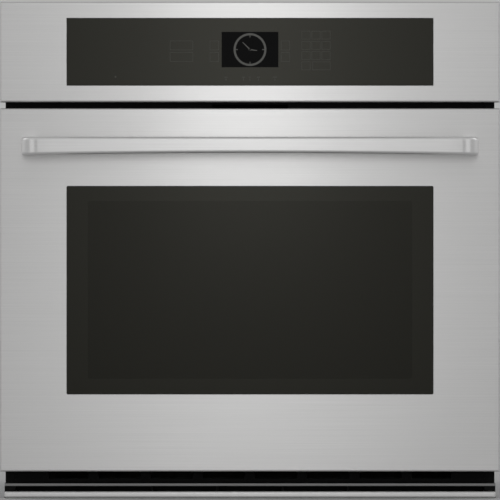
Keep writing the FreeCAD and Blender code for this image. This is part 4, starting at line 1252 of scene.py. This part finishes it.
@dataclass
class Handle:
    """Bar handle: an arch of rounded section whose ends bend back to the door."""

    thick: float = 22 * MM
    bend: float = 26 * MM
    corner: float = 5.2 * MM
    fullness: float = 0.52
    rise: float = 3.6 * MM
    spans: int = 14
    turns: int = 10

    def __post_init__(self) -> None:
        """Reads the handle's room from the frame."""
        self.low, self.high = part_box("handle_bar")

    def section(self) -> bpy.types.Object:
        """Draws the rounded section at the foot of the right-hand leg.

        Returns:
            The section, a single face.
        """
        deselect()
        middle = (
            self.high.x - self.thick / 2, self.high.y, (self.low.z + self.high.z) / 2,
        )
        bpy.ops.mesh.primitive_plane_add(size=1, location=middle, rotation=(math.pi / 2, 0, 0))
        piece = bpy.context.object
        piece.name = "handle_grip"
        piece.scale = (self.thick, self.high.z - self.low.z, 1)
        settle(piece)
        bpy.ops.object.mode_set(mode="EDIT")
        bpy.ops.mesh.select_all(action="SELECT")
        bpy.ops.mesh.bevel(
            offset=self.corner, segments=8, profile=self.fullness, affect="VERTICES"
        )
        object_mode()
        return piece

    def arch(self) -> bpy.types.Object:
        """Sweeps the section along half the handle and mirrors it.

        Returns:
            The whole handle.
        """
        piece = self.section()
        straight = self.high.y - self.low.y - self.bend
        activate(piece)
        bpy.ops.object.mode_set(mode="EDIT")
        bpy.ops.mesh.select_mode(type="FACE")
        bpy.ops.mesh.select_all(action="SELECT")
        bpy.ops.mesh.extrude_region_move(TRANSFORM_OT_translate={"value": (0, -straight, 0)})
        pivot = (self.high.x - self.bend, self.low.y + self.bend, 0)
        bpy.ops.mesh.spin(
            steps=self.turns, angle=math.pi / 2, center=pivot, axis=(0, 0, 1)
        )
        step = (self.high.x - self.bend) / self.spans
        for _ in range(self.spans):
            bpy.ops.mesh.extrude_region_move(TRANSFORM_OT_translate={"value": (-step, 0, 0)})
        bpy.ops.mesh.delete(type="FACE")
        object_mode()
        self.lift_underside(piece)
        mirror_x(piece)
        return outward(piece)

    def lift_underside(self, piece: bpy.types.Object) -> None:
        """Raises the underside towards mid-span.

        Args:
            piece: The half arch.
        """
        half = self.high.x
        low = self.low.z
        height = self.high.z - low
        for vertex in piece.data.vertices:
            share = 1 - (vertex.co.x / half) ** 2
            depth = 1 - (vertex.co.z - low) / height
            vertex.co.z += self.rise * share * depth

    def build(self) -> None:
        """Builds and mounts the handle with its feet."""
        grip = smooth(self.arch(), 50)
        mount(grip, "door", "handle_metal", ("handle_bar",))


@dataclass
class Window:
    """Outer glass of the door with its black printed border."""

    edge: float = 0.6 * MM
    corner: float = 2 * MM
    rim: float = 1 * MM
    opening_corner: float = 3 * MM
    border_side: float = 32.2 * MM
    border_top: float = 22.9 * MM
    border_foot: float = 23.7 * MM
    ink: float = 0.06 * MM

    def __post_init__(self) -> None:
        """Reads the place of the glass."""
        self.low, self.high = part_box("outer_glass")

    def pane(self) -> bpy.types.Object:
        """Cuts the pane with rounded corners and softened edges.

        Returns:
            The pane.
        """
        piece = block("door_window", self.low, self.high)
        round_edges(piece, self.corner, 4, runs_back)
        near = self.low.y + HAIR
        round_edges(piece, self.edge, 2, lambda a, b: a.y < near and b.y < near)
        return smooth(piece)

    def border(self) -> bpy.types.Object:
        """Lays the ceramic border around the face of the pane.

        Returns:
            The border.
        """
        y = self.low.y
        piece = block(
            "window_border",
            (self.low.x + self.rim, y - self.ink, self.low.z + self.rim),
            (self.high.x - self.rim, y, self.high.z - self.rim),
        )
        opening = block(
            "opening",
            (self.low.x + self.border_side, y - MM, self.low.z + self.border_foot),
            (self.high.x - self.border_side, y + MM, self.high.z - self.border_top),
        )
        round_edges(opening, self.opening_corner, 4, runs_back)
        return carve(piece, [opening])

    def build(self) -> None:
        """Builds and mounts the window."""
        mount(self.pane(), "door", "dark_glass", ("outer_glass",))
        mount(self.border(), "door", "dark_glass", own=BORDER_INK.material())


# ---- bottom vent ----


@dataclass
class Vent:
    """Trough under the door: black walls, a thin blade and a rolled steel lip."""

    sheet: float = 1.2 * MM
    lip_depth: float = 7 * MM
    lip_height: float = 10 * MM
    lip_round: float = 3.2 * MM
    slots: int = 9
    slot_pitch: float = 76 * MM
    slot_half: float = 32 * MM
    slot_foot: float = 6 * MM
    slot_top: float = 19 * MM
    slot_corner: float = 3 * MM
    # The sheet behind the slots is painted shade: a black sheet that keeps the slots dark.
    shade_sheet_thickness: float = 0.5 * MM
    shade_sheet_side: float = 8 * MM
    shade_sheet_lap: float = 2 * MM
    nose_drop: float = 4.0 * MM
    nose_round: float = 0.5 * MM
    ribs: int = 4
    rib_pitch: float = 100 * MM
    rib_half: float = 1.5 * MM
    rib_set: float = 3 * MM
    rib_corner: float = 0.8 * MM
    cap_width: float = 17 * MM
    cap_corner: float = 1.5 * MM

    def __post_init__(self) -> None:
        """Reads the room of the trough and of the blade."""
        self.low, self.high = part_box("bottom_trim")
        self.blade_low, self.blade_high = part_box("vent_blade")

    def lip(self) -> bpy.types.Object:
        """Rolls the front lip, with softened ends.

        Returns:
            The lip.
        """
        foot = self.low
        piece = block(
            "vent_lip", foot,
            (self.high.x, foot.y + self.lip_depth, foot.z + self.lip_height),
        )
        return smooth(round_edges(piece, self.lip_round, 6), 60)

    def trough(self) -> bpy.types.Object:
        """Folds the floor and the slotted back wall.

        Returns:
            The trough.
        """
        low, high, t = self.low, self.high, self.sheet
        floor = block(
            "vent_trough", (low.x, low.y + self.lip_depth - t, low.z),
            (high.x, high.y, low.z + t),
        )
        pick_faces(floor, lambda c, n: n.z > 0.9)
        bpy.ops.mesh.bisect(
            plane_co=(0, high.y - t, 0), plane_no=(0, 1, 0), clear_inner=False,
            clear_outer=False,
        )
        object_mode()
        pick_faces(floor, lambda c, n: n.z > 0.9 and c.y > high.y - t)
        bpy.ops.mesh.extrude_region_move(
            TRANSFORM_OT_translate={"value": (0, 0, high.z - low.z - t)}
        )
        object_mode()
        first = -self.slot_pitch * (self.slots - 1) / 2
        cutters = []
        for index in range(self.slots):
            x = first + index * self.slot_pitch
            cutter = block(
                "slot", (x - self.slot_half, high.y - 3 * t, low.z + self.slot_foot),
                (x + self.slot_half, high.y + t, low.z + self.slot_top),
            )
            round_edges(cutter, self.slot_corner, 4, runs_back)
            cutters.append(cutter)
        return smooth(carve(floor, cutters))

    def shade_sheet_behind_slots(self) -> bpy.types.Object:
        """Lays a thin black sheet behind the slots: painted shade that keeps them dark where light
        from behind would show through.

        Returns:
            The black sheet of painted shade.
        """
        side = self.shade_sheet_side
        foot = self.low.z + self.slot_foot - self.shade_sheet_lap
        top = self.low.z + self.slot_top + self.shade_sheet_lap
        piece = block(
            "vent_shade_sheet", (self.low.x + side, self.high.y, foot),
            (self.high.x - side, self.high.y + self.shade_sheet_thickness, top),
        )
        return round_edges(piece, HAIR, 1)

    def nose(self) -> bpy.types.Object:
        """Makes the steel nose of the blade.

        Returns:
            The nose.
        """
        low, high = self.blade_low, self.blade_high
        piece = block(
            "blade_nose", (low.x, low.y, high.z - self.nose_drop),
            (high.x, low.y + self.sheet, high.z),
        )
        return smooth(round_edges(piece, self.nose_round, 2))

    def web(self) -> bpy.types.Object:
        """Makes the dark roof of the blade and its ribs.

        Returns:
            The roof and ribs, joined.
        """
        low, high = self.blade_low, self.blade_high
        start = low.y + self.sheet
        parts = [block("blade_web", (low.x, start, high.z - self.sheet), high)]
        for index in range(self.ribs):
            x = self.rib_pitch * (index - (self.ribs - 1) / 2)
            rib = block(
                "rib", (x - self.rib_half, start + self.rib_set, low.z),
                (x + self.rib_half, high.y, high.z - self.sheet),
            )
            parts.append(round_edges(rib, self.rib_corner, 2, lambda a, b: abs(a.z - b.z) > MM))
        return smooth(unite("blade_web", parts))

    def caps(self) -> bpy.types.Object:
        """Moulds the two end caps.

        Returns:
            Both caps, joined.
        """
        low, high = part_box("vent_end_caps")
        piece = block("vent_caps", (high.x - self.cap_width, low.y, low.z), high)
        near = low.y + MM
        round_edges(piece, self.cap_corner, 3, lambda a, b: a.y < near and b.y < near)
        return smooth(outward(mirror_x(piece)))

    def build(self) -> None:
        """Builds and mounts the vent."""
        mount(self.lip(), "chassis", "stainless_trim", ("bottom_trim",))
        mount(self.trough(), "chassis", "black_paint")
        # Painted shade: a black sheet behind the slots so that they stay dark.
        mount(self.shade_sheet_behind_slots(), "chassis", "black_paint")
        mount(self.nose(), "chassis", "black_paint", ("vent_blade",), own=BLADE_STEEL.material())
        mount(self.web(), "chassis", "black_paint")
        mount(self.caps(), "chassis", "black_paint", ("vent_end_caps",))


# ---- chassis details ----


class Facing(Enum):
    """The way a screw head faces, as a turn about X from straight up."""

    UP = 0.0
    REAR = -90.0
    FRONT = 90.0


@dataclass
class Screws:
    """Pan-head screws with a cross recess."""

    radius: float = 4.0 * MM
    height: float = 2.0 * MM
    shank: float = 2.0 * MM
    reach: float = 7.0 * MM
    arm: float = 2.2 * MM
    slit: float = 0.45 * MM
    recess: float = 1.0 * MM
    crown: float = 1.1 * MM
    liner_side: float = 20 * MM
    liner_foot: float = 60 * MM
    liner_top: float = 30 * MM
    handle_side: float = 11 * MM
    handle_drop: float = 14 * MM
    handle_apart: float = 7 * MM
    door_sheet: float = 1.2 * MM
    fan_inset: float = 14 * MM
    rear_inset: float = 7 * MM
    rear_shares: tuple[float, ...] = (0.06, 0.36, 0.66, 0.94)

    def head(self, facing: Facing) -> bpy.types.Object:
        """Models one screw at the origin, its seat on the origin's plane.

        Args:
            facing: The way its head faces.

        Returns:
            The screw.
        """
        piece = drum("screw", (0, 0, self.height / 2), self.radius, self.height, Axis.Z, 24)
        top = self.height
        near = top - HAIR
        round_edges(piece, self.crown, 3, lambda a, b: a.z > near and b.z > near)
        pick_faces(piece, lambda c, n: n.z < -0.9)
        bpy.ops.mesh.inset(thickness=self.radius - self.shank, depth=0)
        bpy.ops.mesh.extrude_region_move(TRANSFORM_OT_translate={"value": (0, 0, -self.reach)})
        object_mode()
        floor = top - self.recess
        cuts = [
            block("cut", (-self.arm, -self.slit, floor), (self.arm, self.slit, top + MM)),
            block("cut", (-self.slit, -self.arm, floor), (self.slit, self.arm, top + MM)),
        ]
        carve(piece, cuts)
        piece.rotation_euler = (math.radians(facing.value), 0, 0)
        return smooth(settle(piece))

    def row(self, name: str, facing: Facing, places: list[Point]) -> bpy.types.Object:
        """Copies a screw to each place and joins the copies.

        Args:
            name: Name of the joined piece.
            facing: The way the heads face.
            places: The middle of each seat.

        Returns:
            The joined screws.
        """
        model = self.head(facing)
        copies = [copy_to(model, Vector(p)) for p in places]
        bpy.data.objects.remove(model)
        return unite(name, copies)

    def cover(self) -> list[Point]:
        """Gives the seats of the top cover's screws.

        Returns:
            The middle of each seat.
        """
        low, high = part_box("top_screws")
        x = high.x - self.radius
        rows = (low.y + self.radius, (low.y + high.y) / 2, high.y - self.radius)
        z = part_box("top_cover")[1].z
        return [(side * x, y, z) for side in (-1, 1) for y in rows]

    def liner(self) -> list[Point]:
        """Gives the seats of the door liner's screws.

        Returns:
            The middle of each seat.
        """
        low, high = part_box("inner_liner")
        x = high.x - self.liner_side
        rows = (low.z + self.liner_foot, (low.z + high.z) / 2, high.z - self.liner_top)
        return [(side * x, high.y, z) for side in (-1, 1) for z in rows]

    def handle(self) -> list[Point]:
        """Gives the seats of the handle's screws, inside the door's face sheet.

        Returns:
            The middle of each seat.
        """
        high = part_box("handle_bar")[1]
        x = high.x - self.handle_side
        middle = high.z - self.handle_drop
        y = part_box("door_skin")[0].y + self.door_sheet
        rows = (middle - self.handle_apart, middle + self.handle_apart)
        return [(side * x, y, z) for side in (-1, 1) for z in rows]

    def fan_cover(self) -> list[Point]:
        """Gives the seats of the fan cover's screws.

        Returns:
            The middle of each seat.
        """
        low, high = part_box("fan_cover")
        inset = self.fan_inset
        return [
            (x, low.y, z)
            for x in (low.x + inset, high.x - inset)
            for z in (low.z + inset, high.z - inset)
        ]

    def rear(self) -> list[Point]:
        """Gives the seats of the rear panel's screws.

        Returns:
            The middle of each seat.
        """
        low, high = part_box("rear_panel")
        x = high.x - self.rear_inset
        rows = [low.z + (high.z - low.z) * share for share in self.rear_shares]
        return [(side * x, high.y, z) for side in (-1, 1) for z in rows]

    def build(self) -> None:
        """Builds and mounts all the visible screws."""
        cover = self.row("cover_screws", Facing.UP, self.cover())
        mount(cover, "chassis", "bracket_steel", ("top_screws",))
        door = self.row("door_fixings", Facing.REAR, self.liner() + self.handle())
        mount(door, "door", "bracket_steel", ("door_screws",))
        fan = self.row("fan_cover_screws", Facing.FRONT, self.fan_cover())
        mount(fan, "chassis", "bracket_steel")
        mount(self.row("rear_screws", Facing.REAR, self.rear()), "chassis", "bracket_steel")


@dataclass
class Pressings:
    """Ribs and louvre hoods pressed in the sheet panels, and a blank foil plate."""

    width: float = 14 * MM
    height: float = 1.2 * MM
    root: float = 1.0 * MM
    side_shares: tuple[float, ...] = (0.16, 0.40, 0.64)
    side_front: float = 70 * MM
    side_rear: float = 50 * MM
    cover_rows: tuple[float, ...] = (80 * MM, 270 * MM, 335 * MM, 500 * MM)
    cover_side: float = 60 * MM
    hood_height: float = 6 * MM
    hood_depth: float = 2.6 * MM
    hood_root: float = 0.6 * MM
    hood_round: float = 1.8 * MM
    hood_step: float = 12 * MM
    rear_rows: int = 4
    rear_foot: float = 84 * MM
    rear_left: float = -170 * MM
    rear_pitch: float = 110 * MM
    rear_columns: int = 3
    rear_half: float = 46 * MM
    side_rows: int = 5
    side_foot: float = 64 * MM
    side_start: float = 298 * MM
    side_end: float = 422 * MM
    foil_side: float = 120 * MM
    foil_width: float = 80 * MM
    foil_foot: float = 300 * MM
    foil_height: float = 50 * MM
    foil_sheet: float = 0.3 * MM
    foil_corner: float = 3 * MM

    def bulge(self, name: str, low: Point, high: Point, round_by: float) -> bpy.types.Object:
        """Presses one rounded bulge between two corners."""
        return smooth(round_edges(block(name, low, high), round_by, 3), 60)

    def side_ribs(self) -> bpy.types.Object:
        """Presses the ribs of both side panels.

        Returns:
            The ribs, joined.
        """
        low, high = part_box("side_panels")
        parts = []
        for share in self.side_shares:
            z = low.z + (high.z - low.z) * share
            start = (high.x - self.root, low.y + self.side_front, z)
            end = (high.x + self.height, high.y - self.side_rear, z + self.width)
            parts.append(self.bulge("rib", start, end, self.root))
        return mirror_x(unite("side_ribs", parts))

    def cover_ribs(self) -> bpy.types.Object:
        """Presses the ribs of the top cover.

        Returns:
            The ribs, joined.
        """
        low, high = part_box("top_cover")
        parts = []
        for y in self.cover_rows:
            start = (low.x + self.cover_side, y, high.z - self.root)
            end = (high.x - self.cover_side, y + self.width, high.z + self.height)
            parts.append(self.bulge("rib", start, end, self.root))
        return unite("cover_ribs", parts)

    def rear_hoods(self) -> bpy.types.Object:
        """Presses a hood over each slot of the rear panel.

        Returns:
            The hoods, joined.
        """
        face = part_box("rear_panel")[1].y
        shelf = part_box("compartment_shelf")[0].z
        parts = []
        for row in range(self.rear_rows):
            z = shelf + self.rear_foot + self.hood_step * row
            for column in range(self.rear_columns):
                x = self.rear_left + self.rear_pitch * column
                start = (x - self.rear_half, face - self.hood_root, z)
                end = (x + self.rear_half, face + self.hood_depth, z + self.hood_height)
                parts.append(self.bulge("hood", start, end, self.hood_round))
        return unite("rear_hoods", parts)

    def side_hoods(self) -> bpy.types.Object:
        """Presses a hood over each slot of the side panels.

        Returns:
            The hoods, joined.
        """
        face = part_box("side_panels")[1].x
        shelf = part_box("compartment_shelf")[0].z
        parts = []
        for row in range(self.side_rows):
            z = shelf + self.side_foot + self.hood_step * row
            start = (face - self.hood_root, self.side_start, z)
            end = (face + self.hood_depth, self.side_end, z + self.hood_height)
            parts.append(self.bulge("hood", start, end, self.hood_round))
        return mirror_x(unite("side_hoods", parts))

    def foil(self) -> bpy.types.Object:
        """Sticks a blank foil plate on the rear panel.

        Returns:
            The plate.
        """
        low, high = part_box("rear_panel")
        x = low.x + self.foil_side
        z = low.z + self.foil_foot
        end = (x + self.foil_width, high.y + self.foil_sheet, z + self.foil_height)
        piece = block("foil_plate", (x, high.y, z), end)
        round_edges(piece, self.foil_corner, 4, lambda a, b: abs(a.y - b.y) > HAIR)
        return smooth(piece)

    def build(self) -> None:
        """Builds and mounts the pressings."""
        for piece in (self.side_ribs(), self.cover_ribs(), self.rear_hoods(), self.side_hoods()):
            mount(piece, "chassis", "zinc_sheet")
        mount(self.foil(), "chassis", "bracket_steel")


@dataclass
class DoorInside:
    """Bead pressed in the liner and the printed border of the inner glass."""

    bead: float = 9 * MM
    bead_root: float = 0.5 * MM
    bead_height: float = 0.55 * MM
    gap: float = 16 * MM
    band: float = 32 * MM
    edge: float = 2 * MM
    corner: float = 20 * MM
    ink: float = 0.1 * MM

    def ring(self, name: str, low: Point, high: Point, stroke: float) -> bpy.types.Object:
        """Cuts a flat rectangular ring with rounded corners.

        Args:
            name: Name of the ring.
            low: Lowest outer corner.
            high: Highest outer corner.
            stroke: Width of the ring.

        Returns:
            The ring.
        """
        half = (high[1] - low[1]) / 2
        outer = block(name, low, high)
        round_edges(outer, self.corner, 8, lambda a, b: abs(a.y - b.y) > half)
        cutter = block(
            "opening", (low[0] + stroke, low[1] - MM, low[2] + stroke),
            (high[0] - stroke, high[1] + MM, high[2] - stroke),
        )
        round_edges(cutter, self.corner - stroke / 2, 8, runs_back)
        return carve(outer, [cutter])

    def liner_bead(self) -> bpy.types.Object:
        """Presses the rounded bead around the glass.

        Returns:
            The bead.
        """
        low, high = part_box("inner_glass")
        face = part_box("inner_liner")[1].y
        top = face + self.bead_height
        piece = self.ring(
            "liner_bead", (low.x - self.gap, face - self.bead_root, low.z - self.gap),
            (high.x + self.gap, top, high.z + self.gap), self.bead,
        )
        near = top - HAIR / 2
        round_edges(piece, self.bead_root, 3, lambda a, b: a.y > near and b.y > near)
        return smooth(piece, 40)

    def border(self) -> bpy.types.Object:
        """Prints the dark border on the inner glass, on the cavity's side.

        Returns:
            The border.
        """
        low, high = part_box("inner_glass")
        start = (low.x + self.edge, high.y, low.z + self.edge)
        end = (high.x - self.edge, high.y + self.ink, high.z - self.edge)
        return self.ring("inner_glass_border", start, end, self.band)

    def build(self) -> None:
        """Builds and mounts the two pieces."""
        mount(self.liner_bead(), "door", "enamel")
        mount(self.border(), "door", "clear_glass", own=INNER_INK.material())


@dataclass(frozen=True)
class Can:
    """A can capacitor: its middle on the board, its radius and its height."""

    x: float
    y: float
    radius: float
    height: float


@dataclass(frozen=True)
class Header:
    """A pin header: its left front corner on the board and how many pins it has."""

    x: float
    y: float
    ways: int


@dataclass
class Electronics:
    """Parts soldered to the relay board: capacitors and pin headers."""

    rise: float = 11.6 * MM
    cans: tuple[Can, ...] = (
        Can(-30 * MM, 210 * MM, 6 * MM, 18 * MM),
        Can(-12 * MM, 210 * MM, 6 * MM, 18 * MM),
        Can(8 * MM, 212 * MM, 8 * MM, 26 * MM),
        Can(30 * MM, 200 * MM, 5 * MM, 12 * MM),
    )
    headers: tuple[Header, ...] = (
        Header(-120 * MM, 148 * MM, 6),
        Header(-70 * MM, 148 * MM, 4),
        Header(-30 * MM, 148 * MM, 5),
        Header(20 * MM, 148 * MM, 6),
        Header(-40 * MM, 316 * MM, 8),
    )
    can_corner: float = 0.8 * MM
    can_rim: float = 1.2 * MM
    can_dish: float = 0.4 * MM
    pitch: float = 5.08 * MM
    shroud_depth: float = 8 * MM
    shroud_height: float = 11 * MM
    shroud_corner: float = 0.4 * MM
    shroud_wall: float = 1.0 * MM
    shroud_well: float = 8 * MM
    pin: float = 1.0 * MM
    pin_height: float = 10 * MM
    pin_corner: float = 0.2 * MM

    def level(self) -> float:
        """Gives the height of the board's upper face."""
        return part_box("compartment_shelf")[1].z + self.rise

    def capacitor(self, can: Can) -> bpy.types.Object:
        """Stands one can capacitor on the board.

        Args:
            can: Its place and size.

        Returns:
            The capacitor.
        """
        z = self.level()
        middle = (can.x, can.y, z + can.height / 2)
        piece = drum("can", middle, can.radius, can.height, Axis.Z, 28)
        near = z + can.height - HAIR
        round_edges(piece, self.can_corner, 3, lambda a, b: a.z > near and b.z > near)
        pick_faces(piece, lambda c, n: n.z > 0.95)
        bpy.ops.mesh.inset(thickness=self.can_rim, depth=-self.can_dish)
        object_mode()
        return smooth(piece)

    def connector(self, header: Header) -> bpy.types.Object:
        """Makes one pin header with a shroud.

        Args:
            header: Its place and its number of pins.

        Returns:
            The header.
        """
        x, y, z = header.x, header.y, self.level()
        end = (x + header.ways * self.pitch, y + self.shroud_depth, z + self.shroud_height)
        shroud = block("header", (x, y, z), end)
        round_edges(shroud, self.shroud_corner, 2)
        pick_faces(shroud, lambda c, n: n.z > 0.95)
        bpy.ops.mesh.inset(thickness=self.shroud_wall, depth=0)
        bpy.ops.mesh.extrude_region_move(
            TRANSFORM_OT_translate={"value": (0, 0, -self.shroud_well)}
        )
        object_mode()
        pins = []
        half = self.pin / 2
        middle = y + self.shroud_depth / 2
        foot = z + self.shroud_height - self.shroud_well
        for index in range(header.ways):
            px = x + (index + 0.5) * self.pitch
            pin = block(
                "pin", (px - half, middle - half, foot),
                (px + half, middle + half, z + self.pin_height),
            )
            pins.append(round_edges(pin, self.pin_corner, 1))
        return smooth(unite("header", [shroud, *pins]))

    def build(self) -> None:
        """Builds and mounts the board's parts."""
        cans = [self.capacitor(can) for can in self.cans]
        mount(unite("board_capacitors", cans), "chassis", "motor_body")
        headers = [self.connector(header) for header in self.headers]
        mount(unite("board_headers", headers), "chassis", "switch_plastic")


# ---- studio ----


@dataclass(frozen=True)
class Lamp:
    """A soft rectangular lamp: where it hangs, how big it is and its power in watts."""

    name: str
    place: Point
    width: float
    height: float
    power: float


@dataclass
class Studio:
    """Floor, backdrop, lamps and camera."""

    lens: float = 400.0
    sensor: float = 36.0
    far_clip: float = 100.0
    face_width: float = 0.762
    eye: float = 0.3529
    surround: float = 0.45
    floor_size: float = 30.0
    floor_dark: float = 0.585
    floor_pale: float = 0.60
    aim: Point = (0.0, 0.0, 0.35)
    lamps: tuple[Lamp, ...] = (
        Lamp("band", (0.0, -1.35, 0.755), 0.26, 0.8, 0.42),
        Lamp("front_soft", (-3.2, -3.2, 1.0), 2.4, 2.0, 7.0),
        Lamp("front_soft", (3.2, -3.2, 1.0), 2.4, 2.0, 7.0),
        Lamp("strip", (0.0, -9.6, 0.8), 0.5, 4.5, 24.5),
        Lamp("left_soft", (-3.5, 1.5, 2.4), 2.0, 2.0, 8.0),
        Lamp("right_soft", (3.5, 1.5, 2.4), 2.0, 2.0, 8.0),
        Lamp("rear_soft", (0.0, 4.0, 2.5), 3.0, 2.0, 8.0),
    )

    def floor(self) -> None:
        """Lays a pale floor under the oven."""
        deselect()
        z = CAD_BOX[0].z - 0.5 * MM
        bpy.ops.mesh.primitive_plane_add(size=self.floor_size, location=(0, 0, z))
        ground = bpy.context.object
        ground.name = "floor"
        r = Recipe("floor")
        speck = r.noise(r.place(), 4.0, 2)
        dark = (self.floor_dark,) * 3
        pale = (self.floor_pale,) * 3
        r.colour(r.ramp(speck, [(0.3, dark), (0.7, pale)]))
        r.shine(Roughness=0.85)
        ground.data.materials.append(r.material)

    def hang(self, lamp: Lamp) -> None:
        """Hangs one lamp and turns it to the oven.

        Args:
            lamp: The lamp to hang.
        """
        deselect()
        bpy.ops.object.light_add(type="AREA", location=lamp.place)
        light = bpy.context.object
        light.name = lamp.name
        light.data.shape = "RECTANGLE"
        light.data.size = lamp.width
        light.data.size_y = lamp.height
        light.data.energy = lamp.power
        light.visible_camera = False
        sight = Vector(self.aim) - Vector(lamp.place)
        light.rotation_euler = sight.to_track_quat("-Z", "Y").to_euler()

    def world(self) -> None:
        """Sets an even pale surround."""
        world = bpy.data.worlds.new("studio")
        bpy.context.scene.world = world
        world.use_nodes = True
        back = world.node_tree.nodes["Background"]
        back.inputs["Color"].default_value = (1, 1, 1, 1)
        back.inputs["Strength"].default_value = self.surround

    def camera(self) -> None:
        """Stands the camera square to the face, at mid-height."""
        deselect()
        reach = self.face_width / 2 / (self.sensor / 2 / self.lens)
        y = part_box("door_skin")[0].y - reach
        bpy.ops.object.camera_add(location=(0, y, self.eye), rotation=(math.pi / 2, 0, 0))
        camera = bpy.context.object
        camera.data.lens = self.lens
        camera.data.sensor_width = self.sensor
        camera.data.clip_end = self.far_clip
        bpy.context.scene.camera = camera

    def build(self) -> None:
        """Sets up the whole studio."""
        self.floor()
        self.world()
        for lamp in self.lamps:
            self.hang(lamp)
        bpy.context.scene.view_settings.view_transform = "Standard"
        self.camera()


def main() -> None:
    """Dresses the frame, builds the fine pieces and sets up the studio."""
    logging.basicConfig(level=logging.INFO)
    dress_frame()
    for part in (ControlPanel(), Handle(), Window(), Vent(), Screws(), Pressings(), DoorInside(),
                 Electronics(), Studio()):
        part.build()
        log.info("%s done", type(part).__name__)


if __name__ == "__main__":
    main()
